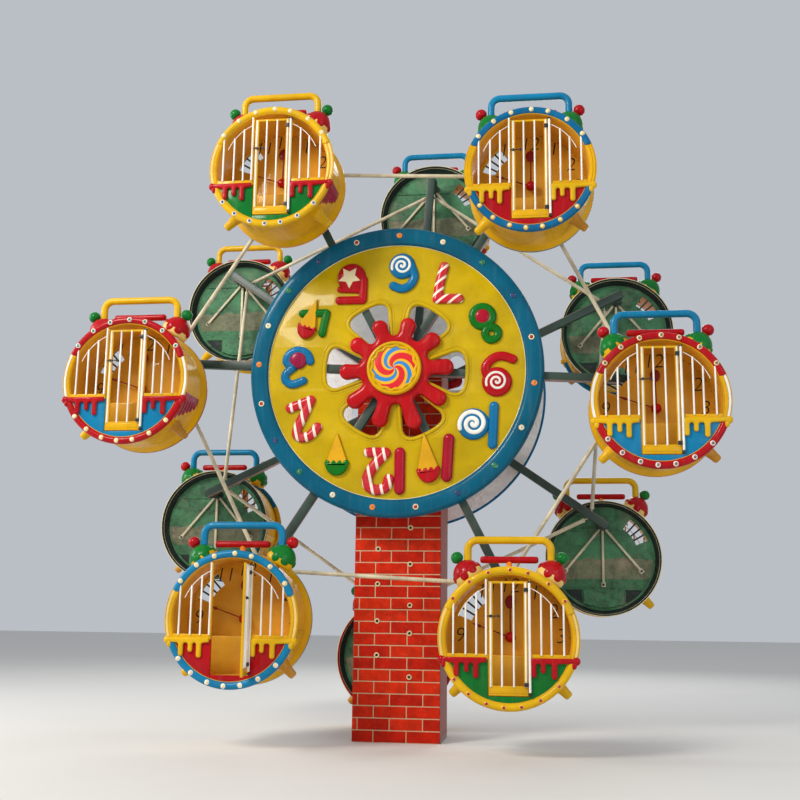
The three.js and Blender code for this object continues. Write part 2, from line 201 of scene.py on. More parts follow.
class Sheet:
    """The node tree of one material."""

    def __init__(self, name: str) -> None:
        """Starts an empty tree, in a material of that name.

        Args:
            name: The material's name.
        """
        self.material = bpy.data.materials.new(name)
        self.material.use_nodes = True
        self.tree = self.material.node_tree
        self.tree.nodes.clear()

    def node(self, kind: str, settings: dict[str, object] | None = None,
             inputs: dict[str | int, Value] | None = None) -> bpy.types.Node:
        """Adds a node.

        Args:
            kind: Blender's name of the node's type.
            settings: The node's own properties, which are set first.
            inputs: What each named or numbered socket holds or is linked to.

        Returns:
            The new node.
        """
        made = self.tree.nodes.new(kind)
        for key, value in (settings or {}).items():
            setattr(made, key, value)
        for key, value in (inputs or {}).items():
            socket = made.inputs[key]
            if isinstance(value, Shade):
                self.tree.links.new(value.socket, socket)
            elif socket.type == "RGBA":
                socket.default_value = (*value, 1.0)
            else:
                socket.default_value = value
        return made

    def out(self, kind: str, output: str | int, settings: dict[str, object] | None = None,
            inputs: dict[str | int, Value] | None = None) -> Shade:
        """Adds a node and gives one of its outputs."""
        return Shade(self, self.node(kind, settings, inputs).outputs[output])

    def place(self, centre: Triple = (0, 0, 0), scale: Triple = (1, 1, 1),
              turn: Triple = (0, 0, 0)) -> Shade:
        """Gives the object's own coordinates, centred on a point, turned by degrees and scaled.

        Args:
            centre: The point that becomes the pattern's origin.
            scale: Factors along the axes.
            turn: Turns about the axes, in degrees.

        Returns:
            The coordinates.
        """
        raw = self.out("ShaderNodeTexCoord", "Object")
        moved = self.out("ShaderNodeVectorMath", "Vector", {"operation": "SUBTRACT"}, {0: raw, 1: centre})
        return self.out("ShaderNodeMapping", "Vector", None, {
            "Vector": moved, "Scale": scale, "Rotation": tuple(math.radians(a) for a in turn)})

    def axes(self, vector: Shade) -> tuple[Shade, Shade, Shade]:
        """Splits coordinates into x, y and z."""
        parts = self.node("ShaderNodeSeparateXYZ", None, {0: vector})
        return tuple(Shade(self, parts.outputs[i]) for i in range(3))

    def noise(self, vector: Shade, scale: float, detail: float = 3.0, rough: float = 0.55) -> Shade:
        """Adds cloudy noise about 0.5: its clouds in a metre, its finer layers and how strong they are."""
        return self.out("ShaderNodeTexNoise", "Fac", None,
                        {"Vector": vector, "Scale": scale, "Detail": detail, "Roughness": rough})

    def mix(self, factor: Value, first: Value, second: Value) -> Shade:
        """Blends two colours."""
        return self.out("ShaderNodeMix", 2, {"data_type": "RGBA"}, {0: factor, 6: first, 7: second})

    def mottled(self, noise: Shade, colour: Colour, dark: float, light: float) -> Shade:
        """Gives a colour that noise takes from a darker to a lighter shade of it."""
        return self.mix(noise.step(0.3, 0.7), shaded(colour, dark), shaded(colour, light))

    def close(self, colour: Value, roughness: Value, metallic: Value = 0.0, height: Shade | None = None,
              depth: float = 0.001, coat: float = 0.0, coat_roughness: float = 0.1,
              ior: float = 1.5) -> bpy.types.Material:
        """Ends the tree with the shader.

        Args:
            colour: The base colour.
            roughness: How dull the surface is.
            metallic: How metallic it is.
            height: The relief that bends the normals.
            depth: How deep a relief of 1 is, in metres.
            coat: The weight of a clear coat.
            coat_roughness: How dull that coat is.
            ior: The index of refraction, which sets the gloss.

        Returns:
            The finished material.
        """
        inputs = {"Base Color": colour, "Roughness": roughness, "Metallic": metallic,
                  "Coat Weight": coat, "Coat Roughness": coat_roughness, "IOR": ior}
        if height is not None:
            inputs["Normal"] = self.out("ShaderNodeBump", "Normal", None,
                                        {"Height": height, "Distance": depth, "Strength": 1.0})
        shader = self.out("ShaderNodeBsdfPrincipled", "BSDF", None, inputs)
        self.node("ShaderNodeOutputMaterial", None, {"Surface": shader})
        return self.material


@dataclass(frozen=True)
class Gelcoat:
    """Moulded fibreglass in a glossy colour, a little clouded, dusty and wavy as the real mouldings are."""

    code: str
    dust: float = 0.04
    roughness: float = 0.24

    def make(self) -> bpy.types.Material:
        """Builds the material.

        Returns:
            The material.
        """
        sheet = Sheet(f"gelcoat_{self.code}")
        colour = linear(self.code)
        here = sheet.place()
        clouds = sheet.noise(here, 2.2, 4.0)
        runs = sheet.noise(sheet.place(scale=(9, 9, 0.9)), 1.6, 4.0, 0.6).step(0.5, 0.76)
        specks = sheet.noise(here, 46.0, 2.0).step(0.62, 0.74)
        tone = sheet.mottled(clouds, colour, 0.82, 1.06)
        dusty = sheet.mix(runs * self.dust, tone, shaded(linear("cfc4a8"), 0.7))
        fine = sheet.mix(specks * 0.12, dusty, shaded(colour, 0.45))
        peel = sheet.noise(here, 120.0, 2.0)
        waves = sheet.noise(here, 9.0, 1.0)
        return sheet.close(fine, self.roughness + runs * 0.2 + peel * 0.06, height=peel * 0.12 + waves,
                           depth=0.0022, coat=0.14, coat_roughness=0.05, ior=1.2)


@dataclass(frozen=True)
class RawMoulding:
    """The unpainted inner side of a moulding: resin, mottled, with pale patches and glass strands."""

    base: str = "346a46"
    pale: str = "8e886c"
    contrast: float = 1.0

    def make(self) -> bpy.types.Material:
        """Builds the material.

        Returns:
            The material.
        """
        sheet = Sheet(f"raw_moulding_{self.base}")
        here = sheet.place()
        patches = sheet.noise(here, 2.6, 5.0, 0.62).step(0.5, 0.72)
        mottle = sheet.noise(here, 14.0, 5.0, 0.65)
        along = sheet.place(scale=(1.0, 1.0, 14.0), turn=(0, 34, 0))
        strands = sheet.noise(along, 16.0, 3.0).step(0.52, 0.66)
        across = sheet.place(scale=(13.0, 1.0, 1.0), turn=(0, 21, 0))
        crossed = sheet.noise(across, 15.0, 3.0).step(0.52, 0.66)
        base = linear(self.base)
        tone = sheet.mottled(mottle, base, 1 - 0.4 * self.contrast, 1 + 0.5 * self.contrast)
        bright = sheet.noise(sheet.place(scale=(1, 1, 1.6)), 2.1, 3.0, 0.5).step(0.47, 0.64)
        tone = sheet.mix(bright * 0.6 * self.contrast, tone, shaded(base, 1 + 1.1 * self.contrast))
        aged = sheet.mix(patches * 0.5, tone, linear(self.pale))
        streaked = sheet.mix((strands + crossed) * 0.16, aged, shaded(linear(self.pale), 0.9))
        relief = mottle + (strands + crossed) * 0.5
        return sheet.close(streaked, 0.42 + mottle * 0.3, height=relief, depth=0.004)


@dataclass(frozen=True)
class SteelPaint:
    """Brushed-on paint on steel, with rubbed spots, runs of dirt and a few rusty chips."""

    code: str
    rust: float = 0.35
    roughness: float = 0.42

    def make(self) -> bpy.types.Material:
        """Builds the material.

        Returns:
            The material.
        """
        sheet = Sheet(f"steel_paint_{self.code}")
        colour = linear(self.code)
        here = sheet.place()
        clouds = sheet.noise(here, 3.4, 4.0)
        dirt = sheet.noise(sheet.place(scale=(5, 5, 1.2)), 2.4, 5.0, 0.65).step(0.5, 0.75)
        chips = sheet.noise(here, 21.0, 5.0, 0.6).step(0.64, 0.68)
        tone = sheet.mottled(clouds, colour, 0.72, 1.22)
        soiled = sheet.mix(dirt * 0.3, tone, shaded(linear("6b5a44"), 0.6))
        rusted = sheet.mix(chips * self.rust, soiled, linear("6e3a1c"))
        brush = sheet.noise(sheet.place(scale=(1, 40, 40)), 4.0, 2.0)
        return sheet.close(rusted, self.roughness + dirt * 0.2 + chips * 0.2, height=brush * 0.3 - chips,
                           depth=0.0012)


@dataclass(frozen=True)
class BareMetal:
    """Galvanised or ground steel, for pins and bolts."""

    code: str = "a7a8a4"

    def make(self) -> bpy.types.Material:
        """Builds the material.

        Returns:
            The material.
        """
        sheet = Sheet(f"bare_metal_{self.code}")
        here = sheet.place()
        grain = sheet.noise(here, 60.0, 4.0, 0.6)
        spangle = sheet.out("ShaderNodeTexVoronoi", "Distance", None, {"Vector": here, "Scale": 90.0})
        tone = sheet.mix(grain, shaded(linear(self.code), 0.55), linear(self.code))
        return sheet.close(tone, 0.34 + spangle * 0.3, metallic=0.85, height=grain, depth=0.0006)


@dataclass(frozen=True)
class BrickGlaze:
    """One shade of the moulded bricks' red, rubbed paler in places and with a fine sandy face."""

    code: str

    def make(self) -> bpy.types.Material:
        """Builds the material.

        Returns:
            The material.
        """
        sheet = Sheet(f"brick_glaze_{self.code}")
        colour = linear(self.code)
        here = sheet.place()
        clouds = sheet.noise(here, 7.0, 5.0, 0.6)
        sand = sheet.noise(here, 150.0, 3.0)
        scuffs = sheet.noise(sheet.place(scale=(1, 1, 2.5)), 12.0, 5.0, 0.7).step(0.56, 0.7)
        runs = sheet.noise(sheet.place(scale=(8, 8, 0.5)), 1.4, 4.0).step(0.5, 0.75)
        tone = sheet.mottled(clouds, colour, 0.76, 1.16)
        rubbed = sheet.mix(scuffs * 0.12, tone, linear("d98a6c"))
        soiled = sheet.mix(runs * 0.2, rubbed, linear("5a2a22"))
        return sheet.close(soiled, 0.36 + sand * 0.2 + runs * 0.15, height=sand * 0.4 + clouds, depth=0.0016,
                           ior=1.2)


@dataclass(frozen=True)
class ColumnSkin:
    """The column's own faces: pale joints behind the bricks, and plain mauve sides with fine upright ribs."""

    joint: str = "d9b48c"
    side: str = "a8665e"
    half: float = 0.525

    def make(self) -> bpy.types.Material:
        """Builds the material.

        Returns:
            The material.
        """
        sheet = Sheet("column_skin")
        here = sheet.place()
        sideways = sheet.axes(here)[0].size() > self.half - 0.004
        grain = sheet.noise(here, 80.0, 4.0, 0.6)
        stains = sheet.noise(sheet.place(scale=(6, 6, 0.7)), 1.5, 5.0, 0.62).step(0.46, 0.76)
        across = sheet.axes(here)[1]
        ribs = (across * 260.0).sine() * 0.5 + 0.5
        threads = sheet.noise(sheet.place(scale=(1, 30, 0.8)), 4.0, 4.0)
        joint = sheet.mix(grain, shaded(linear(self.joint), 0.75), linear(self.joint))
        plain = sheet.mottled(threads, linear(self.side), 0.8, 1.14)
        panel = sheet.mix(stains * 0.4, plain, shaded(linear("6b5048"), 0.8))
        return sheet.close(sheet.mix(sideways, joint, panel), 0.55 + grain * 0.25,
                           height=grain * 0.5 + ribs * sideways * 0.35, depth=0.0016)


@dataclass(frozen=True)
class BulbGlass:
    """A lamp's glossy plastic dome, its colour clouded a little darker and lighter."""

    code: str

    def make(self) -> bpy.types.Material:
        """Builds the material.

        Returns:
            The material.
        """
        sheet = Sheet(f"bulb_{self.code}")
        colour = linear(self.code)
        here = sheet.place()
        facets = sheet.out("ShaderNodeTexVoronoi", "Distance", None, {"Vector": here, "Scale": 160.0})
        haze = sheet.noise(here, 30.0, 3.0)
        tone = sheet.mottled(haze, colour, 0.8, 1.1)
        return sheet.close(tone, 0.12 + haze * 0.12, height=facets, depth=0.002, coat=0.3,
                           coat_roughness=0.04)


@dataclass(frozen=True)
class Cane:
    """Candy of two colours in slanted bands, as on a cane."""

    first: str
    second: str
    width: float
    slant: float
    edge: float = 0.62

    def make(self) -> bpy.types.Material:
        """Builds the material.

        Returns:
            The material.
        """
        sheet = Sheet(f"cane_{self.first}_{self.second}_{int(self.slant)}")
        along = sheet.axes(sheet.place(turn=(0, self.slant, 0)))[0]
        here = sheet.place()
        band = (along * (2 * math.pi / self.width)).sine().step(self.edge - 0.12, self.edge + 0.12)
        clouds = sheet.noise(here, 5.0, 4.0)
        peel = sheet.noise(here, 110.0, 2.0)
        stripes = sheet.mix(band, linear(self.first), linear(self.second))
        tone = sheet.mix(clouds.step(0.45, 0.8) * 0.25, stripes, shaded(linear("b9a888"), 0.7))
        return sheet.close(tone, 0.2 + clouds * 0.14, height=peel * 0.2 + clouds, depth=0.002, coat=0.2,
                           ior=1.3)


@dataclass(frozen=True)
class Swirl:
    """A lollipop swirl of three colours about a point of the wheel."""

    centre: Triple
    reach: float
    colours: tuple[str, str, str] = ("f2b21c", "d9262e", "2a86c8")
    blades: float = 3.0

    def make(self) -> bpy.types.Material:
        """Builds the material.

        Returns:
            The material.
        """
        sheet = Sheet(f"swirl_{'front' if self.centre[1] < 0 else 'rear'}")
        here = sheet.place(self.centre)
        across, _, up = sheet.axes(here)
        radius = (across * across + up * up).root()
        phase = up.angle_to(across) * self.blades + radius * (9.0 / self.reach)
        band = phase.sine()
        gold, red, blue = (linear(code) for code in self.colours)
        inner = sheet.mix(band.step(0.2, 0.34), gold, red)
        both = sheet.mix((band * -1.0).step(0.62, 0.76), inner, blue)
        rimmed = sheet.mix(radius.step(self.reach * 0.84, self.reach * 0.87), both, gold)
        clouds = sheet.noise(sheet.place(), 8.0, 4.0)
        tone = sheet.mix(clouds.step(0.5, 0.8) * 0.25, rimmed, shaded(linear("b98a48"), 0.7))
        peel = sheet.noise(sheet.place(), 110.0, 2.0)
        return sheet.close(tone, 0.22 + clouds * 0.16, height=peel * 0.2 + clouds + band * 0.6, depth=0.003,
                           coat=0.2, ior=1.3)


@dataclass(frozen=True)
class Studio:
    """The plain pale floor's finish."""

    code: str = "d6d4cf"

    def make(self) -> bpy.types.Material:
        """Builds the material.

        Returns:
            The material.
        """
        sheet = Sheet("studio_floor")
        grain = sheet.noise(sheet.place(), 0.6, 3.0)
        tone = sheet.mix(grain, shaded(linear(self.code), 0.96), linear(self.code))
        return sheet.close(tone, 0.75)


Finish = (Gelcoat | RawMoulding | SteelPaint | BareMetal | BrickGlaze | ColumnSkin | BulbGlass | Cane | Swirl
          | Studio)
MADE: dict[Finish, bpy.types.Material] = {}


def material(finish: Finish) -> bpy.types.Material:
    """Gives a finish's material, built once.

    Args:
        finish: The finish.

    Returns:
        Its material.
    """
    if finish not in MADE:
        MADE[finish] = finish.make()
    return MADE[finish]


class Paint(Enum):
    """The colours that the mouldings come in."""

    GOLD = Gelcoat("dca612")
    # The drum's inside is golden paint, made paler than the shell's gold as painted light for the sun inside
    # it.
    INNER_GOLD = Gelcoat("ecae34", dust=0.05, roughness=0.36)
    YELLOW = Gelcoat("dcac10")
    LEMON = Gelcoat("c6a60c")
    RED = Gelcoat("ac0c16")
    BRIGHT_RED = Gelcoat("b60e16")
    MAGENTA = Gelcoat("961640")
    BLUE = Gelcoat("107aa6")
    DEEP_BLUE = Gelcoat("066492")
    RIM_BLUE = Gelcoat("045a76")
    GREEN = Gelcoat("0a7028")
    CREAM = Gelcoat("ecdcae", dust=0.2)
    WHITE = Gelcoat("f2eee4", dust=0.2, roughness=0.32)
    LIP = Gelcoat("ecca74", dust=0.2)
    ORANGE = Gelcoat("ec8418")
    BROWN = Gelcoat("c08626", dust=0.25)
    EDGE = Gelcoat("24322c")
    DARK = Gelcoat("241a16", dust=0.05, roughness=0.4)
    HAND = Gelcoat("8c1c18", dust=0.05)


class Lamp(Enum):
    """The lamp domes' colours."""

    CREAM = BulbGlass("f0dca4")
    WHITE = BulbGlass("efece2")
    YELLOW = BulbGlass("f0b414")
    RED = BulbGlass("a3182a")
    NAVY = BulbGlass("1c3a6e")
    DUSK = BulbGlass("7c6656")
    GREEN = BulbGlass("1f7a48")
    ORANGE = BulbGlass("ef8a28")


STEEL = SteelPaint("2a4036")
FLANGE = SteelPaint("8f6f68", rust=0.5)
TIE = SteelPaint("c9bd9f", rust=0.3, roughness=0.36)
ROD = SteelPaint("cfc4a4", rust=0.4)
BEARING = SteelPaint("3d4844", rust=0.45)
BRIGHT = BareMetal()
BLACK_IRON = SteelPaint("20201f", rust=0.25)
DIAL_BACK = RawMoulding("fbf9f6", "ece6e0", 0.2)
# Near-black resin laid in the cabins' back recesses as painted shade.
PAINTED_SHADE_BAND = RawMoulding("12201c", "3a4640")
STAINED = RawMoulding("666c50", "b8a084", 0.8)


@dataclass(frozen=True)
class Casting:
    """A finished shape with the keys of the finishes that its slots take."""

    mesh: bpy.types.Mesh
    keys: tuple[Hashable, ...]


class Form:
    """A shape in the making. Parts are joined in one at a time, each in the finish that is then in use."""

    def __init__(self) -> None:
        """Starts with nothing."""
        self.whole = bmesh.new()
        self.keys: list[Hashable] = []
        self.slot = 0
        self.frame = Matrix.Identity(4)

    def at(self, frame: Matrix) -> "Form":
        """Chooses the frame that the next parts are given in."""
        self.frame = frame
        return self

    def use(self, key: Hashable) -> "Form":
        """Chooses the finish, or the role that later gets one, of the next parts.

        Args:
            key: The finish or role.

        Returns:
            The form.
        """
        if key not in self.keys:
            self.keys.append(key)
        self.slot = self.keys.index(key)
        return self

    def join(self, part: bmesh.types.BMesh, turn: Matrix | None = None) -> None:
        """Adds a part.

        Args:
            part: The part's own bmesh, which is used up.
            turn: Where it goes.
        """
        bmesh.ops.remove_doubles(part, verts=part.verts, dist=SAME_SPOT)
        bmesh.ops.recalc_face_normals(part, faces=part.faces)
        for face in part.faces:
            face.material_index = self.slot
        mesh = bpy.data.meshes.new("part")
        part.to_mesh(mesh)
        part.free()
        mesh.transform(self.frame if turn is None else self.frame @ turn)
        self.whole.from_mesh(mesh)
        bpy.data.meshes.remove(mesh)

    def lathe(self, profile: Sequence[Pair], steps: int, closed: bool = False, start: float = 0.0,
              sweep: float = 360.0, turn: Matrix | None = None) -> None:
        """Adds a round shape about the Y axis.

        Args:
            profile: Its outline as (radius, y) points.
            steps: How many spans go round.
            closed: Whether the outline's last point joins its first.
            start: The angle above +X where the sweep starts, in degrees.
            sweep: How far round it goes.
            turn: Where it goes.
        """
        part = bmesh.new()
        points = [part.verts.new((r, y, 0)) for r, y in profile]
        lines = [part.edges.new(pair) for pair in zip(points, points[1:])]
        if closed:
            lines.append(part.edges.new((points[-1], points[0])))
        bmesh.ops.rotate(part, verts=points, cent=(0, 0, 0), matrix=about_y(start).to_3x3())
        full = abs(sweep) >= 360.0
        bmesh.ops.spin(part, geom=points + lines, cent=(0, 0, 0), axis=(0, -1, 0), angle=math.radians(sweep),
                       steps=steps, use_merge=full)
        if not full:
            bmesh.ops.holes_fill(part, edges=[e for e in part.edges if e.is_boundary], sides=0)
        self.join(part, turn)

    def ring(self, radius: float, tube: float, y: float, steps: int, sides: int,
             start: float = 0.0, sweep: float = 360.0, turn: Matrix | None = None) -> None:
        """Adds a round tube about the Y axis, whole or in part: steps go round the ring, sides the tube."""
        outline = [(radius + u, y + v) for u, v in arc(tube, 0, 360, sides)[:-1]]
        self.lathe(outline, steps, True, start, sweep, turn)

    def rod(self, start: Triple, end: Triple, radius: float, sides: int, tip: float | None = None) -> None:
        """Adds a straight round rod.

        Args:
            start: One end.
            end: The other end.
            radius: The radius at the start.
            sides: Its sides.
            tip: The radius at the end, where that differs.
        """
        first, last = Vector(start), Vector(end)
        part = bmesh.new()
        bmesh.ops.create_cone(part, cap_ends=True, segments=sides, radius1=radius,
                              radius2=radius if tip is None else tip, depth=(last - first).length)
        aim = (last - first).to_track_quat("Z", "Y").to_matrix().to_4x4()
        self.join(part, Matrix.Translation((first + last) / 2) @ aim)

    def ball(self, centre: Triple, radius: float, stretch: Triple, across: int, up: int,
             turn: Matrix | None = None) -> None:
        """Adds a ball, round or stretched.

        Args:
            centre: Its middle.
            radius: Its radius.
            stretch: Factors along the axes.
            across: Spans round it.
            up: Spans from pole to pole.
            turn: A turn about its middle.
        """
        part = bmesh.new()
        bmesh.ops.create_uvsphere(part, u_segments=across, v_segments=up, radius=radius)
        bmesh.ops.scale(part, verts=part.verts, vec=stretch)
        self.join(part, Matrix.Translation(centre) @ (turn or Matrix.Identity(4)))

    def box(self, low: Triple, high: Triple, bevel: float = 0.0, segments: int = 2,
            turn: Matrix | None = None) -> None:
        """Adds a box with rounded edges.

        Args:
            low: Its lowest corner.
            high: Its highest corner.
            bevel: The rounding of its edges.
            segments: Spans in the rounding.
            turn: Where it goes.
        """
        part = bmesh.new()
        bmesh.ops.create_cube(part, size=1.0)
        size = Vector(high) - Vector(low)
        bmesh.ops.scale(part, verts=part.verts, vec=size)
        bmesh.ops.translate(part, verts=part.verts, vec=(Vector(high) + Vector(low)) / 2)
        if bevel:
            bmesh.ops.bevel(part, geom=part.edges, offset=bevel, offset_type="OFFSET", affect="EDGES",
                            segments=segments, profile=0.5, material=-1)
        self.join(part, turn)

    def segment(self, radius: float, y0: float, y1: float, cuts: Iterable[tuple[Pair, Pair]],
                bevel: float = 0.0) -> None:
        """Adds a disc with straight cuts.

        Args:
            radius: The disc's radius.
            y0: Its front plane.
            y1: Its back plane.
            cuts: For each cut a point on it and the direction of what goes, both as (x, z).
            bevel: The rounding of the front and back edges.
        """
        part = bmesh.new()
        bmesh.ops.create_circle(part, cap_ends=True, segments=DISC_STEPS, radius=radius)
        bmesh.ops.rotate(part, verts=part.verts, cent=(0, 0, 0), matrix=UPRIGHT.to_3x3())
        bmesh.ops.translate(part, verts=part.verts, vec=(0, y0, 0))
        for (x, z), (across, up) in cuts:
            geometry = list(part.verts) + list(part.edges) + list(part.faces)
            bmesh.ops.bisect_plane(part, geom=geometry, plane_co=(x, 0, z), plane_no=(across, 0, up),
                                   clear_outer=True)
        raised = bmesh.ops.extrude_face_region(part, geom=list(part.faces))
        moved = [item for item in raised["geom"] if isinstance(item, bmesh.types.BMVert)]
        bmesh.ops.translate(part, verts=moved, vec=(0, y1 - y0, 0))
        if bevel:
            sharp = [e for e in part.edges if e.calc_face_angle(0.0) > SHARP_CORNER]
            bmesh.ops.bevel(part, geom=sharp, offset=bevel, offset_type="OFFSET", affect="EDGES", segments=2,
                            profile=0.5, material=-1)
        self.join(part)

    def _from_curve(self, curve: bpy.types.Curve, turn: Matrix | None,
                    shape: Callable[[Vector], Vector] | None = None) -> None:
        """Adds a curve's or text's mesh.

        Args:
            curve: The curve, which is used up.
            turn: Where it goes.
            shape: A change of each point before that.
        """
        holder = bpy.data.objects.new("outline", curve)
        mesh = bpy.data.meshes.new_from_object(holder)
        part = bmesh.new()
        part.from_mesh(mesh)
        bpy.data.objects.remove(holder)
        bpy.data.meshes.remove(mesh)
        if shape is not None:
            bmesh.ops.remove_doubles(part, verts=part.verts, dist=SAME_SPOT)
            long = [e for e in part.edges if e.calc_length() > LONG_EDGE]
            bmesh.ops.subdivide_edges(part, edges=long, cuts=3, use_grid_fill=False)
            bmesh.ops.triangulate(part, faces=part.faces)
            for vertex in part.verts:
                vertex.co = shape(vertex.co)
        self.join(part, turn)

    def plate(self, loops: Sequence[Sequence[Pair]], y0: float, y1: float, bevel: float = 0.0,
              resolution: int = 2, turn: Matrix | None = None,
              shape: Callable[[Vector], Vector] | None = None) -> None:
        """Adds a flat plate from outlines in the XZ plane.

        Args:
            loops: The outer outline and those of its openings.
            y0: The front plane.
            y1: The back plane.
            bevel: The rounding of its edges, which stays inside the outline.
            resolution: Spans in the rounding.
            turn: Where it goes.
            shape: A change of each point before that, such as a bend.
        """
        curve = bpy.data.curves.new("plate", "CURVE")
        curve.dimensions = "2D"
        curve.fill_mode = "BOTH"
        for loop in loops:
            spline = curve.splines.new("POLY")
            spline.points.add(len(loop) - 1)
            for point, (x, z) in zip(spline.points, loop):
                point.co = (x, z, 0, 1)
            spline.use_cyclic_u = True
        curve.extrude = max(0.0, abs(y1 - y0) / 2 - bevel)
        curve.bevel_depth = bevel
        curve.bevel_resolution = resolution
        curve.offset = -bevel
        upright = shift(y=(y0 + y1) / 2) @ UPRIGHT
        if shape is not None:
            self._from_curve(curve, turn, lambda co: shape(upright @ co))
        else:
            self._from_curve(curve, upright if turn is None else turn @ upright)

    def figure(self, text: str, size: float, y0: float, y1: float, fatten: float, turn: Matrix) -> None:
        """Adds a number, upright and facing -Y about the origin.

        Args:
            text: The number.
            size: The height of its type.
            y0: Its front plane.
            y1: Its back plane.
            fatten: How much its strokes are widened on each side.
            turn: Where it goes.
        """
        letters = bpy.data.curves.new("figure", "FONT")
        letters.body = text
        letters.size = size
        letters.align_x = letters.align_y = "CENTER"
        letters.resolution_u = 4
        letters.extrude = abs(y1 - y0) / 2
        letters.offset = fatten
        self._from_curve(letters, turn @ shift(y=(y0 + y1) / 2) @ UPRIGHT)

    def pipe(self, points: Sequence[Triple], radius: float, closed: bool, resolution: int) -> None:
        """Adds a round pipe along points.

        Args:
            points: Its middle line.
            radius: Its radius.
            closed: Whether it runs back to its start.
            resolution: How round it is.
        """
        curve = bpy.data.curves.new("pipe", "CURVE")
        curve.dimensions = "3D"
        curve.fill_mode = "FULL"
        spline = curve.splines.new("POLY")
        spline.points.add(len(points) - 1)
        for point, place in zip(spline.points, points):
            point.co = (*place, 1)
        spline.use_cyclic_u = closed
        curve.bevel_depth = radius
        curve.bevel_resolution = resolution
        curve.use_fill_caps = not closed
        self._from_curve(curve, None)

    def bolt(self, centre: Triple, radius: float, height: float, y_out: int = -1) -> None:
        """Adds a six-sided bolt head with its washer, on a face across Y.

        Args:
            centre: Where it sits on the face.
            radius: The head's radius.
            height: The head's height.
            y_out: The sign of the way that it stands out.
        """
        x, y, z = centre
        self.rod((x, y, z), (x, y + y_out * height * 0.25, z), radius * 1.5, 14)
        self.rod((x, y, z), (x, y + y_out * height, z), radius, 6, radius * 0.92)

    def cast(self, name: str, soft: float = 38.0) -> Casting:
        """Ends the shape.

        Args:
            name: The mesh's name.
            soft: Edges that bend less than this many degrees are shaded round.

        Returns:
            The casting.
        """
        limit = math.radians(soft)
        for face in self.whole.faces:
            face.smooth = True
        for edge in self.whole.edges:
            edge.smooth = edge.calc_face_angle(0.0) < limit
        mesh = bpy.data.meshes.new(name)
        self.whole.to_mesh(mesh)
        self.whole.free()
        return Casting(mesh, tuple(self.keys))


def set_piece(casting: Casting, name: str, body: str, place: Matrix | None = None,
              replaces: Sequence[str] = (), look: Callable[[Hashable], Finish] | None = None) -> None:
    """Sets a casting in its place as a piece of the wheel.

    Args:
        casting: The shape.
        name: The piece's name.
        body: The frame's body that it rides on.
        place: Where it goes; its object stays at the origin.
        replaces: The solids that it stands for.
        look: Gives the finish of a role; without it the keys are finishes.
    """
    mesh = casting.mesh.copy()
    mesh.name = name
    if place is not None:
        mesh.transform(place)
    for key in casting.keys:
        mesh.materials.append(material(look(key) if look else key))
    piece = bpy.data.objects.new(name, mesh)
    bpy.context.scene.collection.objects.link(piece)
    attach(piece, body)
    if replaces:
        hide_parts(*replaces)
    LOG.info("%s: %d faces on %s", name, len(mesh.polygons), body)


@dataclass(frozen=True)
class Viewpoint:
    """The photograph's camera, as worked out from the wheel's own outlines."""

    spot: Triple = (1.905, -14.03, 1.507)
    lens: float = 50.44
    pitch: float = 10.764
    yaw: float = 7.957
    roll: float = 0.715

    def build(self) -> None:
        """Makes the camera and gives it to the scene."""
        pitch, yaw, roll = (math.radians(a) for a in (self.pitch, self.yaw, self.roll))
        ahead = Vector((-math.sin(yaw) * math.cos(pitch), math.cos(yaw) * math.cos(pitch), math.sin(pitch)))
        right = Vector((math.cos(yaw), math.sin(yaw), 0))
        up = right.cross(ahead)
        rolled = right * math.cos(roll) + up * math.sin(roll)
        upright = up * math.cos(roll) - right * math.sin(roll)
        data = bpy.data.cameras.new("camera")
        data.lens = self.lens
        data.sensor_width = 36.0
        data.clip_end = 200.0
        camera = bpy.data.objects.new("camera", data)
        bpy.context.scene.collection.objects.link(camera)
        turned = Matrix((rolled, upright, -ahead)).transposed().to_4x4()
        camera.matrix_world = Matrix.Translation(self.spot) @ turned
        bpy.context.scene.camera = camera


@dataclass(frozen=True)
class Softbox:
    """One large soft lamp that points at the wheel."""

    name: str
    spot: Triple
    size: float
    power: float
    tint: Colour = (1.0, 1.0, 1.0)

    def build(self, target: Vector) -> None:
        """Hangs the lamp and turns it to the target.

        Args:
            target: What it points at.
        """
        data = bpy.data.lights.new(self.name, "AREA")
        data.shape = "SQUARE"
        data.size = self.size
        data.energy = self.power
        data.color = self.tint
        lamp = bpy.data.objects.new(self.name, data)
        bpy.context.scene.collection.objects.link(lamp)
        lamp.location = self.spot
        lamp.rotation_euler = (target - Vector(self.spot)).to_track_quat("-Z", "Y").to_euler()


@dataclass
class StudioSet:
    """The pale floor, the pale surroundings and the soft lamps."""

    floor: float = 120.0
    sky: Colour = (0.88, 0.93, 1.0)
    strength: float = 0.56
    target: Triple = (0.0, 0.0, 4.2)
    lamps: tuple[Softbox, ...] = (
        Softbox("key", (-9.0, -13.0, 13.0), 5.0, 2300.0, (1.0, 0.96, 0.90)),
        Softbox("fill", (11.0, -12.0, 6.0), 9.0, 480.0, (0.94, 0.97, 1.0)),
        Softbox("left", (-15.0, -1.5, 8.0), 6.0, 900.0),
        Softbox("back", (2.0, 14.0, 12.0), 9.0, 900.0),
    )

    def build(self) -> None:
        """Makes the floor, the world and the lamps."""
        part = bmesh.new()
        bmesh.ops.create_grid(part, x_segments=2, y_segments=2, size=self.floor / 2)
        mesh = bpy.data.meshes.new("floor")
        part.to_mesh(mesh)
        part.free()
        mesh.materials.append(material(Studio()))
        floor = bpy.data.objects.new("floor", mesh)
        bpy.context.scene.collection.objects.link(floor)
        bpy.context.scene.view_settings.view_transform = "Standard"
        world = bpy.data.worlds.new("studio")
        world.use_nodes = True
        background = world.node_tree.nodes["Background"]
        background.inputs["Color"].default_value = (*self.sky, 1.0)
        background.inputs["Strength"].default_value = self.strength
        bpy.context.scene.world = world
        for lamp in self.lamps:
            lamp.build(Vector(self.target))


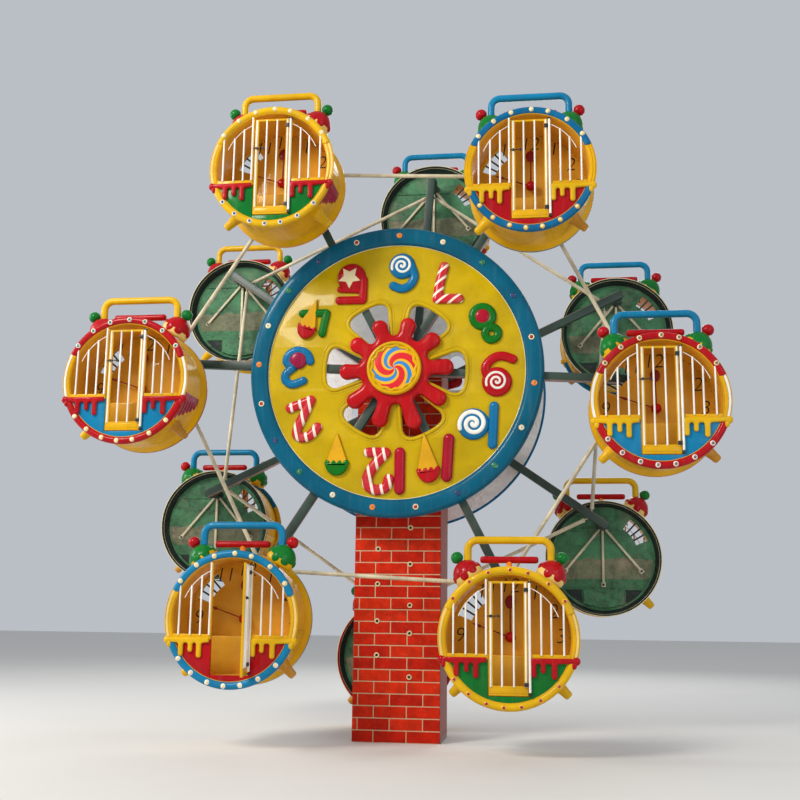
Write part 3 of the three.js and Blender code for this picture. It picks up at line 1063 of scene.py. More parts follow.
@dataclass
class Tower:
    """The column with its moulded bricks and ring lamps, and the bearings that carry the axle."""

    hub: Vector
    low: Vector
    high: Vector
    brick_height: float = 0.141
    joint: float = 0.013
    relief: float = 0.006
    bevel: float = 0.005
    even_row: tuple[float, ...] = (0.063, 0.447, 0.845)
    odd_row: tuple[float, ...] = (0.255, 0.650)
    shades: tuple[BrickGlaze, ...] = (BrickGlaze("ca2608"), BrickGlaze("d42e0c"), BrickGlaze("bc1e06"))
    collar: Pair = (0.124, 0.30)
    lamps: tuple[Pair, ...] = ((-0.24, 2.27), (-0.24, 1.85), (-0.24, 1.41), (-0.24, 1.01), (0.155, 2.53),
                               (0.155, 2.09), (0.155, 1.60), (0.155, 1.27), (0.155, 0.76))

    def build(self) -> None:
        """Dresses the column and the bearings."""
        for slot in frame["nodes"]["column"].material_slots:
            slot.material = material(ColumnSkin(half=round(self.high.x, 4)))
        for side in Side:
            name = side.value
            set_piece(self.bricks(side), f"{name}_bricks", "tower", side.turn)
            set_piece(self.ring_lamps(side), f"{name}_column_lamps", "tower", side.turn)
            set_piece(self.bearing(), f"{name}_bearing_block", "tower", side.turn,
                      [f"bearing_{name}"])
        set_piece(self.edges(), "column_edges", "tower")

    def bricks(self, side: "Side") -> Casting:
        """Makes the bricks of one face, in courses whose joints are staggered.

        Args:
            side: Which face, so that the two don't match brick for brick.

        Returns:
            The casting, facing -Y.
        """
        form = Form()
        low, high, hub = self.low, self.high, self.hub
        half = self.joint / 2
        rows = round((high.z - low.z) / self.brick_height)
        height = (high.z - low.z) / rows
        for row in range(rows):
            foot = low.z + row * height
            joints = self.even_row if row % 2 else self.odd_row
            marks = [low.x, *(low.x + at for at in joints), high.x]
            for index, (left, right) in enumerate(zip(marks, marks[1:])):
                near = Vector((max(left, min(0.0, right)), max(foot, min(hub.z, foot + height)) - hub.z))
                if near.length < self.collar[0] + 0.01:
                    continue
                form.use(self.shades[(row * 5 + index * 3 + (row * index) % 2 + len(side.value)) % 3])
                inset = (0.0 if index == 0 else half, 0.0 if index == len(marks) - 2 else half)
                form.box((left + inset[0], low.y - self.relief, foot + half),
                         (right - inset[1], low.y + self.bevel, foot + height - half), self.bevel, 1)
        return form.cast("bricks", 20.0)

    def ring_lamps(self, side: "Side") -> Casting:
        """Makes the round lamps on one face: a white ring about a dark dome.

        Args:
            side: Which face; the rear one has them the other way round.

        Returns:
            The casting, facing -Y.
        """
        face = self.low.y - self.relief
        form = Form()
        for x, z in self.lamps:
            across = x if side is Side.FRONT else -x
            form.use(Paint.CREAM.value)
            form.lathe([(0.016, -0.004), (0.022, -0.012), (0.029, -0.011), (0.033, 0.0), (0.033, 0.006),
                        (0.014, 0.006)], 24, True, turn=shift(across, face, z))
            form.use(Paint.DARK.value).ball((across, face - 0.002, z), 0.016, (1, 0.5, 1), 16, 8)
        return form.cast("ring_lamps")

    def edges(self) -> Casting:
        """Makes dark strips of painted shade for the gaps on the column's sides, its foot plate and its top
        sheet.

        Returns:
            The casting.
        """
        low, high = self.low, self.high
        form = Form().use(BLACK_IRON)
        # Thin dark strips near each side's front and back edge: painted shade of the gap behind the cladding.
        for x in (low.x, high.x):
            left, right = sorted((x, x + math.copysign(0.0015, x)))
            for y in (low.y + 0.028, high.y - 0.028):
                form.box((left, y - 0.006, 0.004), (right, y + 0.006, high.z - 0.004), 0.0005, 1)
        form.use(FLANGE)
        form.box((low.x - 0.006, low.y + 0.04, 0.0), (high.x + 0.006, high.y - 0.04, 0.05), 0.003, 1)
        form.use(STEEL)
        form.box((low.x + 0.03, low.y + 0.03, high.z - 0.02), (high.x - 0.03, high.y - 0.03, high.z),
                 0.004, 2)
        return form.cast("edges")

    def bearing(self) -> Casting:
        """Makes a bearing block with its bolted collar plate, facing -Y.

        Returns:
            The casting.
        """
        face, hub = self.low.y, self.hub
        form = Form().use(BEARING)
        inner, outer = self.collar
        here = shift(0, face, hub.z)
        form.lathe([(inner, 0.0), (inner, -0.008), (outer, -0.008), (outer, 0.0)], 48, True, turn=here)
        form.lathe([(0.0825, -0.001), (0.0825, -0.07), (0.126, -0.07), (0.14, -0.066), (0.168, -0.038),
                    (0.182, -0.028), (0.19, -0.022), (0.19, -0.001)], 56, True, turn=here)
        form.use(BRIGHT)
        for k in range(8):
            x, z = polar(0.245, 22.5 + 45 * k)
            form.bolt((x, face - 0.008, hub.z + z), 0.016, 0.02)
        for k in range(6):
            x, z = polar(0.166, 15 + 60 * k)
            form.bolt((x, face - 0.034, hub.z + z), 0.009, 0.012)
        return form.cast("bearing")


class Side(Enum):
    """The two sides of the wheel."""

    FRONT = "front"
    REAR = "rear"

    @property
    def turn(self) -> Matrix:
        """Turns what was made for the front to this side, about the column's middle line."""
        return Matrix.Identity(4) if self is Side.FRONT else Matrix.Rotation(math.pi, 4, "Z")


@dataclass(frozen=True)
class Stroke:
    """A puffy round-ended stroke of a number."""

    finish: Finish
    half: float
    points: tuple[Pair, ...]

    def draw(self, form: Form) -> None:
        """Adds it to a number.

        Args:
            form: The shape that it joins.
        """
        line = smooth(self.points)
        form.use(self.finish).pipe([(x, 0, z) for x, z in line], self.half, False, 5)
        for x, z in (line[0], line[-1]):
            form.ball((x, 0, z), self.half * 0.998, (1, 1, 1), 16, 10)


@dataclass(frozen=True)
class Drop:
    """A domed round sweet, with a spiral on it where its winding is not 0."""

    finish: Finish
    centre: Pair
    radius: float
    winding: float = 0.0
    reach: float = 0.72

    def draw(self, form: Form) -> None:
        """Adds it to a number.

        Args:
            form: The shape that it joins.
        """
        x, z = self.centre
        r = self.radius
        form.use(self.finish)
        form.lathe([(0.0, -0.062), (0.45 * r, -0.060), (0.75 * r, -0.051), (0.92 * r, -0.034), (r, -0.008),
                    (r, 0.02), (0.0, 0.02)], 36, turn=shift(x, 0, z))
        if self.winding:
            line = []
            for i in range(49):
                near = r * (0.05 + (self.reach - 0.05) * i / 48)
                u, v = polar(near, 15.0 * i + 20.0)
                line.append((x + u, 0.017 * (near / (0.8 * r)) ** 2 - 0.061, z + v))
            form.use(Paint.WHITE.value).pipe(line, self.winding, False, 3)
            for spot in (line[0], line[-1]):
                form.ball(spot, self.winding, (1, 1, 1), 10, 8)


@dataclass(frozen=True)
class IceCream:
    """A wafer cone with a scoop that has a wavy lower edge."""

    finish: Finish
    tip: Pair
    mouth: Pair
    half: float
    tall: float = 1.1

    def draw(self, form: Form) -> None:
        """Adds it to a number.

        Args:
            form: The shape that it joins.
        """
        up = (Vector(self.mouth) - Vector(self.tip)).normalized()
        across = Vector((up.y, -up.x))

        def spot(side: float, rise: float) -> Pair:
            """Gives a point beside and above the cone's mouth."""
            return tuple(Vector(self.mouth) + across * side + up * rise)
        half, wave = self.half, self.half / 4
        form.use(WAFER).plate([[self.tip, spot(half, 0.04), spot(-half, 0.04)]], -0.050, 0.02, 0.018, 4)
        dome = [spot(u, v * self.tall) for u, v in arc(half, 0, 180, 18)]
        form.use(self.finish).plate([dome], -0.066, 0.02, 0.035, 5)
        for i in range(4):
            x, z = spot(-half + (2 * i + 1) * wave, 0.006)
            form.ball((x, -0.016, z), wave * 1.12, (1, 1.2, 1.1), 14, 10)


@dataclass(frozen=True)
class Star:
    """A plain five-pointed star."""

    finish: Finish
    centre: Pair
    reach: float

    def draw(self, form: Form) -> None:
        """Adds it to a number.

        Args:
            form: The shape that it joins.
        """
        x, z = self.centre
        turns = [polar(self.reach * (0.5 if k % 2 else 1.0), 90 + 36 * k) for k in range(10)]
        form.use(self.finish).plate([[(x + u, z + v) for u, v in turns]], -0.076, -0.030, 0.012, 2)


def circle_line(centre: Pair, radius: float) -> tuple[Pair, ...]:
    """Gives the points of a whole circle."""
    return tuple((centre[0] + u, centre[1] + v) for u, v in arc(radius, 0, 360, 16))


@dataclass(frozen=True)
class Numeral:
    """One candy number of the big dial: where its middle is, and its parts, upright about that middle."""

    at: float
    reach: float
    parts: tuple[Stroke | Drop | IceCream | Star, ...]


CRIMSON = Gelcoat("a8142a")
CANDY_RED = Gelcoat("b2101a")
CANDY_BLUE = Gelcoat("0c6c9c")
CANDY_GREEN = Gelcoat("106c1a")
WAFER = Gelcoat("dca41c")
CANE = Cane("c41c2c", "f2e8d6", 0.112, 12.0)
SLANTED_CANE = Cane("c41c2c", "f2e8d6", 0.096, -52.0)
NUMERALS = (
    Numeral(-96.1, 1.233, (
        Stroke(CRIMSON, 0.066, ((-0.202, -0.209), (-0.202, 0.232))),
        Stroke(CANE, 0.065, ((-0.072, 0.110), (-0.034, 0.205), (0.070, 0.240), (0.170, 0.194), (0.185, 0.084),
                             (0.105, -0.060), (-0.030, -0.205))),
        Stroke(CANE, 0.060, ((-0.030, -0.215), (0.180, -0.215))))),
    Numeral(-123.5, 1.256, (IceCream(CANDY_GREEN, (0.0, -0.275), (0.0, 0.085), 0.145),)),
    Numeral(-152.0, 1.273, (
        Stroke(CANE, 0.060, ((0.165, -0.139), (-0.090, -0.235))),
        Stroke(CANE, 0.060, ((-0.080, -0.217), (-0.013, -0.060), (0.057, 0.084), (0.075, 0.190),
                             (0.005, 0.228), (-0.098, 0.195), (-0.180, 0.100))))),
    Numeral(177.5, 1.216, (
        Drop(Paint.MAGENTA.value, (-0.006, -0.088), 0.112),
        Stroke(CANDY_BLUE, 0.052, ((-0.158, -0.073), (-0.116, -0.170), (0.0, -0.212), (0.110, -0.160),
                                   (0.136, -0.060), (0.044, 0.0))),
        Stroke(CANDY_BLUE, 0.052, ((0.044, 0.0), (0.140, 0.079), (0.142, 0.165), (0.057, 0.215),
                                   (-0.078, 0.172))))),
    Numeral(147.9, 1.206, (
        Stroke(CANDY_GREEN, 0.048, ((0.150, -0.095), (-0.150, -0.095))),
        Stroke(CANDY_GREEN, 0.050, ((-0.155, -0.090), (-0.105, 0.165))),
        IceCream(CANDY_RED, (-0.034, -0.274), (0.082, 0.080), 0.120, 1.3))),
    Numeral(116.9, 1.233, (
        Stroke(CANDY_RED, 0.052, ((0.150, 0.212), (-0.140, 0.212))),
        Stroke(CANDY_RED, 0.052, ((-0.145, 0.200), (-0.150, -0.050))),
        Stroke(CANDY_RED, 0.040, ((0.145, 0.070), (-0.100, 0.085))),
        Drop(CANDY_RED, (0.0, -0.080), 0.178), Star(Paint.CREAM.value, (0.023, -0.075), 0.145))),
    Numeral(86.4, 1.227, (
        Stroke(CANDY_BLUE, 0.054, ((-0.110, -0.080), (-0.148, 0.050), (-0.098, 0.158), (0.005, 0.206),
                                   (0.115, 0.165))),
        Drop(CANDY_BLUE, (0.005, -0.084), 0.162, 0.016, 0.80))),
    Numeral(59.3, 1.258, (
        Stroke(SLANTED_CANE, 0.060, ((0.049, -0.205), (0.100, 0.0), (0.132, 0.200))),
        Stroke(SLANTED_CANE, 0.060, ((0.135, 0.205), (-0.132, 0.205))))),
    Numeral(26.5, 1.235, (
        Stroke(CANDY_GREEN, 0.052, circle_line((0.044, -0.092), 0.118)),
        Drop(CRIMSON, (0.044, -0.092), 0.098),
        Stroke(CANDY_GREEN, 0.050, circle_line((-0.066, 0.122), 0.079)))),
    Numeral(-3.4, 1.263, (
        Stroke(CANDY_RED, 0.056, ((0.120, 0.080), (0.165, -0.080), (0.080, -0.190), (-0.036, -0.222),
                                  (-0.165, -0.181))),
        Drop(CANDY_RED, (0.028, 0.094), 0.180, 0.015))),
    Numeral(-33.3, 1.199, (
        Stroke(CANDY_BLUE, 0.058, ((-0.197, -0.192), (-0.176, 0.266))),
        Drop(CANDY_BLUE, (0.052, 0.020), 0.190, 0.027, 0.88))),
    Numeral(-65.8, 1.197, (
        Stroke(CRIMSON, 0.068, ((-0.168, -0.235), (-0.142, 0.212))),
        IceCream(CANDY_RED, (0.133, -0.313), (0.077, 0.130), 0.140, 1.15))),
)


@dataclass
class WheelSide:
    """One side of the wheel: the clock dial with its boss, the six arms and the ties between them."""

    side: Side
    hub: Vector
    phase: float
    arm_from: float = 0.3315
    arm_to: float = 3.130
    arm_back: float = 0.716
    arm_front: float = 0.816
    pivot: float = 3.060
    pin_end: float = 1.102
    tie_radius: float = 2.880
    tie_plane: float = 0.8455
    face_back: float = 0.8163
    face: float = 0.8463
    rim: tuple[float, float] = (1.58, 1.80)
    rim_top: float = 0.9063
    fan: tuple[float, float, float, float] = (0.38, 0.855, 20.0, 15.5)
    fan_corners: tuple[float, float] = (0.045, 0.150)
    steps: int = 160
    studs: int = 20
    stud_radius: float = 1.69
    stud_drift: float = 16.2
    stud_slip: Pair = (4.0, 117.0)
    number_drift: float = 3.0
    number_flat: float = 0.60
    star_top: float = 0.9363
    star_drift: float = 5.0
    reaches: tuple[float, ...] = (0.715, 0.740, 0.775, 0.735, 0.715, 0.683, 0.652, 0.650, 0.660, 0.672)
    finger: Pair = (0.098, 0.084)
    valley: Pair = (0.480, 0.424)
    cap_top: float = 0.9966

    def build(self) -> None:
        """Makes every piece of this side."""
        name = self.side.value
        place = Matrix.Translation(self.hub) @ self.side.turn
        rows = (
            (self.dial_face(), "dial_face", "dial", ["dial"]), (self.dial_rim(), "dial_rim", "dial", []),
            (self.dial_studs(), "dial_studs", "dial", []), (self.numbers(), "dial_numbers", "dial", []),
            (self.splash(), "splash", "splash_boss", ["star"]), (self.cap(), "cap", "splash_boss", []),
            (self.ties(), "tie_rods", "tie_bars", ["ties"]),
        )
        for casting, piece, slot, gone in rows:
            set_piece(casting, f"{name}_{piece}", "wheel", place, [f"{name}_{solid}" for solid in gone])
        beam = self.arm()
        for k in range(6):
            turn = about_y(self.phase + 60 * k)
            number = k + 1 if self.side is Side.FRONT else (6 - k) % 6 + 1
            set_piece(beam, f"{name}_beam_{number}", "wheel", place @ turn,
                      [f"{name}_arm_{number}"])

    def fan_outline(self, grow: float = 0.0) -> list[Pair]:
        """Gives one petal-shaped opening's outline about the +X axis.

        The outline is drawn as a tapered strip with rounded corners, along and across a radius, and then bent
        round the hub.

        Args:
            grow: How much larger than the opening it is.

        Returns:
            The outline's points.
        """
        inner, outer, wide, narrow = self.fan
        inner, outer = inner - grow, outer + grow
        near, far = inner * math.radians(narrow) + grow, outer * math.radians(wide) + grow
        corners = [Vector((inner, -near)), Vector((outer, -far)), Vector((outer, far)), Vector((inner, near))]
        flat: list[Vector] = []
        for k, spot in enumerate(corners):
            size = self.fan_corners[k in (1, 2)] + grow
            first = spot + (corners[k - 1] - spot).normalized() * size
            last = spot + (corners[(k + 1) % 4] - spot).normalized() * size
            flat.extend(Vector(p) for p in bent(first, spot, last, 8))
        points: list[Pair] = []
        for here, ahead in zip(flat, flat[1:] + flat[:1]):
            spans = max(1, round((ahead - here).length / 0.05))
            for i in range(spans):
                spot = here.lerp(ahead, i / spans)
                points.append(polar(spot.x, math.degrees(spot.y / spot.x)))
        return points

    def turned(self, points: Iterable[Pair], degrees: float) -> list[Pair]:
        """Turns points about the hub."""
        c, s = polar(1.0, degrees)
        return [(x * c - z * s, x * s + z * c) for x, z in points]

    def dial_face(self) -> Casting:
        """Makes the yellow face with its openings, and the lips about them.

        Returns:
            The casting.
        """
        form = Form().use(Paint.LEMON.value)
        outline = self.fan_outline()
        holes = [self.turned(outline, self.phase + 60 * k) for k in range(6)]
        disc = arc(self.rim[0] + 0.03, 0, 360, self.steps)[:-1]
        form.plate([disc, *holes], -self.face, -self.face_back - 0.004, 0.004, 1)
        for grow, bead, sunk in ((0.026, 0.0238, 0.006), (0.066, 0.008, 0.003)):
            lip = self.fan_outline(grow)
            for k in range(6):
                line = self.turned(lip, self.phase + 60 * k)
                form.pipe([(x, -self.face + sunk, z) for x, z in line], bead, True, 3)
        form.use(DIAL_BACK).plate([disc, *holes], -self.face_back - 0.005, -self.face_back, 0.0)
        return form.cast("dial_face")

    def dial_rim(self) -> Casting:
        """Makes the blue rim: a broad raised band with rounded shoulders and a deeper blue skirt of painted
        shade.

        Returns:
            The casting.
        """
        inner, outer = self.rim
        front, foot, back = -self.rim_top, -self.face, -self.face_back
        form = Form().use(Paint.RIM_BLUE.value)
        form.lathe([(inner - 0.004, foot + 0.004), (inner, foot - 0.02), (inner + 0.018, front + 0.014),
                    (inner + 0.045, front), (outer - 0.06, front), (outer - 0.024, front + 0.010),
                    (outer - 0.006, front + 0.030), (outer - 0.001, foot + 0.004),
                    (outer - 0.03, foot + 0.008)], self.steps, True)
        # The skirt is the rim's outer side; its second, deeper blue is painted shade.
        form.use(Paint.DEEP_BLUE.value)
        form.lathe([(outer - 0.03, foot + 0.004), (outer, foot + 0.006), (outer, back - 0.004),
                    (outer - 0.006, back), (outer - 0.03, back)], self.steps, True)
        form.use(DIAL_BACK)
        form.lathe([(inner + 0.028, back - 0.012), (inner + 0.06, back - 0.020), (outer - 0.06, back - 0.020),
                    (outer - 0.029, back - 0.012), (outer - 0.029, back), (inner + 0.028, back)],
                   self.steps, True)
        form.use(Paint.CREAM.value).ring(inner - 0.002, 0.007, foot - 0.003, self.steps, 8)
        return form.cast("dial_rim")

    def dial_studs(self) -> Casting:
        """Makes the rim's lamps, domes in collars, in turns of five colours and not quite evenly set.

        Returns:
            The casting.
        """
        form = Form()
        tones = (Lamp.RED, Lamp.NAVY, Lamp.GREEN, Lamp.WHITE, Lamp.ORANGE)
        for k in range(self.studs):
            tone = tones[k % len(tones)]
            at = self.stud_drift + 360 / self.studs * k
            slip = self.stud_slip[0] * math.cos(math.radians(at - self.stud_slip[1]))
            x, z = polar(self.stud_radius, self.phase + at + slip)
            here = shift(x, -self.rim_top, z)
            form.use(Paint.CREAM.value if tone in (Lamp.WHITE, Lamp.RED) else tone.value)
            form.ring(0.027, 0.008, -0.002, 20, 8, turn=here)
            form.use(tone.value).ball((x, -self.rim_top, z), 0.025, (1, 0.75, 1), 18, 10)
            if tone in (Lamp.WHITE, Lamp.ORANGE):
                form.use(Lamp.DUSK.value).ball((x, -self.rim_top - 0.014, z), 0.010, (1, 0.7, 1), 12, 8)
        return form.cast("dial_studs")

    def numbers(self) -> Casting:
        """Makes the twelve raised numbers, upright on the dial's own face.

        Returns:
            The casting.
        """
        form = Form()
        here = self.phase + self.number_drift
        for numeral in NUMERALS:
            x, z = polar(numeral.reach, here + numeral.at)
            form.at(shift(x, -self.face - 0.014, z) @ about_y(here + 180)
                    @ Matrix.Diagonal((1, self.number_flat, 1, 1)))
            for part in numeral.parts:
                part.draw(form)
        return form.cast("numbers", 50.0)

    def splash(self) -> Casting:
        """Makes the red splash with its ten blunt fingers of uneven reach, puffed up like poured icing.

        Returns:
            The casting.
        """
        blunt, waist = self.finger
        shoulder, root = self.valley
        low = polar(root, 18)
        corner = (low[0] + (low[1] - waist) * math.tan(math.radians(18)), waist)
        left = bent(low, corner, (shoulder, waist), 6)
        outline: list[Pair] = []
        for k, reach in enumerate(self.reaches):
            tip = [(reach - blunt + u, v) for u, v in arc(blunt, 84, -84, 14)]
            finger = left + tip + [(x, -z) for x, z in reversed(left[1:])]
            outline += self.turned(finger, self.phase + self.star_drift - 36 * k)
        form = Form().use(Paint.BRIGHT_RED.value)
        form.plate([outline], -self.star_top + 0.048, -self.face + 0.002, 0.0)
        flat = 0.62
        form.at(Matrix.Diagonal((1, flat, 1, 1)))
        form.plate([outline], -self.star_top / flat, (-self.star_top + 0.093) / flat, 0.0745, 8)
        return form.cast("splash", 60.0)

    def cap(self) -> Casting:
        """Makes the round cap: a soft golden crust with inward drips about a swirled dome.

        Returns:
            The casting.
        """
        form = Form().use(Paint.YELLOW.value)
        top, foot = self.cap_top, self.star_top
        form.lathe([(0.0, -foot + 0.004), (0.318, -foot + 0.004), (0.331, -foot - 0.014),
                    (0.333, -foot - 0.028), (0.324, -top + 0.010), (0.312, -top + 0.001),
                    (0.300, -top + 0.001), (0.289, -top + 0.010), (0.283, -top + 0.024),
                    (0.0, -top + 0.024)], DISC_STEPS)
        frill = [polar(0.268 + 0.010 * math.sin(math.radians(42 * k)), 3 * k) for k in range(120)]
        form.pipe([(x, -top + 0.019, z) for x, z in frill], 0.018, True, 4)
        form.use(Swirl(tuple(self.hub + self.side.turn @ Vector((0, -top, 0))), 0.32))
        form.lathe([(0.0, -top + 0.004), (0.10, -top + 0.006), (0.18, -top + 0.010), (0.255, -top + 0.016),
                    (0.284, -top + 0.022), (0.284, -top + 0.03), (0.0, -top + 0.03)], DISC_STEPS)
        return form.cast("cap")

    def ties(self) -> Casting:
        """Makes the six tie rods, each flattened and bolted at its ends.

        Returns:
            The casting.
        """
        form = Form()
        plane, flattened, radius = -self.tie_plane, 0.10, 0.0245
        for k in range(6):
            at = self.phase + 60 * k
            corners = [polar(self.tie_radius, at + more) for more in (0, 60)]
            start, end = (Vector((x, plane, z)) for x, z in corners)
            along = (end - start).normalized()
            form.use(TIE).rod(tuple(start + along * flattened), tuple(end - along * flattened), radius, 16)
            for spot, way in ((start, along), (end, -along)):
                flat = Matrix.Translation(spot) @ way.to_track_quat("X", "Y").to_matrix().to_4x4()
                form.box((-0.045, -0.006, -0.030), (0.13, 0.010, 0.030), 0.004, 2, flat)
                form.rod(tuple(spot + way * flattened), tuple(spot + way * 0.16), 0.030, 16, radius)
            form.box((self.tie_radius - 0.073, plane + 0.0195, -0.036),
                     (self.tie_radius + 0.073, plane + 0.0288, 0.036), 0.003, 2, about_y(at))
            form.use(BRIGHT)
            for out in (-0.055, 0.055):
                x, z = polar(self.tie_radius + out, at)
                form.bolt((x, plane + 0.0195, z), 0.011, 0.014)
            form.bolt((start.x, plane - 0.008, start.z), 0.017, 0.022)
        return form.cast("ties")

    def arm(self) -> Casting:
        """Makes one arm along +X: a box beam with end plates, a pale lower flange and the cabin's pin.

        Returns:
            The casting.
        """
        form = Form().use(STEEL)
        back, front = -self.arm_back, -self.arm_front
        form.box((self.arm_from + 0.01, front, -0.05), (self.arm_to - 0.012, back, 0.05), 0.008, 3)
        form.box((self.arm_from - 0.001, front + 0.0005, -0.0495),
                 (self.arm_from + 0.016, back - 0.0005, 0.0495), 0.003)
        form.box((self.arm_to - 0.014, front + 0.004, -0.045), (self.arm_to, back - 0.004, 0.045), 0.003)
        form.lathe([(0.0, front - 0.034), (0.068, front - 0.034), (0.075, front - 0.028),
                    (0.075, front + 0.004), (0.0, front + 0.004)], 36, turn=shift(self.pivot))
        form.use(FLANGE)
        form.box((self.arm_from + 0.03, front + 0.001, -0.0512), (self.arm_to - 0.02, back - 0.001, -0.044),
                 0.002, 1)
        form.use(BRIGHT)
        form.lathe([(0.0, -self.pin_end), (0.026, -self.pin_end), (0.0335, -self.pin_end + 0.008),
                    (0.0335, front), (0.0, front)], 28, turn=shift(self.pivot))
        for x in (0.40, 0.46):
            for z in (-0.025, 0.025):
                form.bolt((x, back, z), 0.011, 0.014, 1)
        return form.cast("arm")


@dataclass
class Axle:
    """The axle with a six-sided hub at each end."""

    hub: Vector
    radius: float = 0.080
    flat: float = 0.330
    near: float = 0.716
    far: float = 0.816

    def build(self, phases: Iterable[tuple[Side, float]]) -> None:
        """Makes the axle.

        Args:
            phases: Each side with the angle of its first arm.
        """
        form = Form().use(BRIGHT)
        form.lathe([(0.0, -self.far + 0.02), (self.radius, -self.far + 0.02), (self.radius, self.far - 0.02),
                    (0.0, self.far - 0.02)], 48)
        corner = self.flat / math.cos(math.pi / 6)
        for side, phase in phases:
            outline = [polar(corner, phase + 30 + 60 * k) for k in range(6)]
            form.use(STEEL).plate([outline], -self.far, -self.near, 0.006, 2, side.turn)
            form.lathe([(0.079, -self.near - 0.002), (0.125, -self.near - 0.002), (0.115, -self.near + 0.03),
                        (0.079, -self.near + 0.03)], 40, True, turn=side.turn)
            form.use(BRIGHT)
            for k in range(12):
                x, z = polar(0.29, phase + 15 + 30 * k)
                spot = side.turn @ Vector((x, -self.near, z))
                form.bolt(tuple(spot), 0.014, 0.018, 1 if side is Side.FRONT else -1)
        set_piece(form.cast("axle"), "axle_and_hubs", "wheel", Matrix.Translation(self.hub),
                  ["axle"])


class Role(Enum):
    """What each part of a cabin is for; the livery gives it a finish."""

    (SHELL, INSIDE, RAW, BACK_LIP, STAIN, BACK_BAND, RIM, PIPING, SIDE_LIP, UPPER_LAMP, LOWER_LAMP,
     UPPER_EYE, LOWER_EYE, DRIPS, BELT, PANEL, BARS, DOOR, DIAL, FIGURES, HAND, CENTRE, BELLS, KNOBS, ICING,
     HANDLE, HAMMER, HAMMER_STEM, LEFT_FOOT, RIGHT_FOOT, RODS, BOSS, IRON) = range(33)


UNPAINTED = {Role.RAW: RawMoulding(), Role.STAIN: STAINED, Role.BACK_BAND: PAINTED_SHADE_BAND, Role.RODS: ROD,
             Role.BOSS: STEEL, Role.IRON: BLACK_IRON}
IN_EVERY_CABIN = {
    Role.SHELL: Paint.GOLD, Role.INSIDE: Paint.INNER_GOLD, Role.PIPING: Paint.CREAM, Role.BARS: Paint.WHITE,
    Role.DOOR: Paint.GOLD, Role.DIAL: Paint.INNER_GOLD, Role.FIGURES: Paint.DARK, Role.HAND: Paint.HAND,
    Role.CENTRE: Paint.BRIGHT_RED, Role.HAMMER: Paint.RED, Role.HAMMER_STEM: Paint.ORANGE,
    Role.LEFT_FOOT: Paint.YELLOW,
}
WITH_GREEN_BELLS = {Role.BELLS: Paint.GREEN, Role.KNOBS: Paint.RED, Role.DRIPS: Paint.YELLOW,
                    Role.BELT: Paint.YELLOW, Role.ICING: Paint.YELLOW}
WITH_RED_BELLS = {Role.BELLS: Paint.RED, Role.KNOBS: Paint.GREEN, Role.DRIPS: Paint.RED,
                  Role.BELT: Paint.MAGENTA, Role.ICING: Paint.LIP}


@dataclass(frozen=True)
class Livery:
    """One cabin's colours."""

    handle: Paint
    rim: Paint
    green_bells: bool
    panel: Paint
    back_lip: Paint
    lip: Paint
    upper: tuple[Lamp, Lamp]
    lower: tuple[Lamp, Lamp]

    def finish(self, role: Role) -> Finish:
        """Gives the finish of a role.

        Args:
            role: What the part is for.

        Returns:
            The finish.
        """
        own = {
            Role.BACK_LIP: self.back_lip, Role.RIM: self.rim, Role.SIDE_LIP: self.lip, Role.PANEL: self.panel,
            Role.HANDLE: self.handle, Role.UPPER_LAMP: self.upper[0], Role.UPPER_EYE: self.upper[1],
            Role.LOWER_LAMP: self.lower[0], Role.LOWER_EYE: self.lower[1],
            Role.RIGHT_FOOT: Paint.YELLOW if self.rim is Paint.YELLOW else Paint.BROWN,
        } | (WITH_GREEN_BELLS if self.green_bells else WITH_RED_BELLS) | IN_EVERY_CABIN
        return UNPAINTED[role] if role in UNPAINTED else own[role].value


ALL_CREAM = (Lamp.CREAM, Lamp.CREAM)
GOLDEN = (Lamp.YELLOW, Lamp.CREAM)
LIVERIES = {
    1: Livery(Paint.BLUE, Paint.RED, True, Paint.BLUE, Paint.RED, Paint.WHITE, (Lamp.CREAM, Lamp.DUSK),
              (Lamp.WHITE, Lamp.DUSK)),
    2: Livery(Paint.BLUE, Paint.DEEP_BLUE, True, Paint.RED, Paint.DEEP_BLUE, Paint.GOLD, ALL_CREAM, GOLDEN),
    3: Livery(Paint.YELLOW, Paint.YELLOW, False, Paint.GREEN, Paint.ORANGE, Paint.LIP, ALL_CREAM,
              (Lamp.WHITE, Lamp.NAVY)),
    4: Livery(Paint.YELLOW, Paint.RED, False, Paint.BLUE, Paint.MAGENTA, Paint.WHITE,
              (Lamp.WHITE, Lamp.GREEN), ALL_CREAM),
    5: Livery(Paint.BLUE, Paint.BLUE, True, Paint.RED, Paint.DEEP_BLUE, Paint.LIP, ALL_CREAM,
              (Lamp.WHITE, Lamp.CREAM)),
    6: Livery(Paint.YELLOW, Paint.YELLOW, False, Paint.GREEN, Paint.ORANGE, Paint.LIP,
              (Lamp.YELLOW, Lamp.RED), (Lamp.YELLOW, Lamp.RED)),
}
LIVERIES |= {
    7: replace(LIVERIES[2], lip=Paint.LIP, back_lip=Paint.EDGE), 8: replace(LIVERIES[1], back_lip=Paint.EDGE),
    9: replace(LIVERIES[3], back_lip=Paint.EDGE),
    10: replace(LIVERIES[2], lower=(Lamp.WHITE, Lamp.CREAM), back_lip=Paint.EDGE),
    11: replace(LIVERIES[4], back_lip=Paint.RED),
    12: replace(LIVERIES[3], back_lip=Paint.EDGE, lower=(Lamp.RED, Lamp.RED)),
}


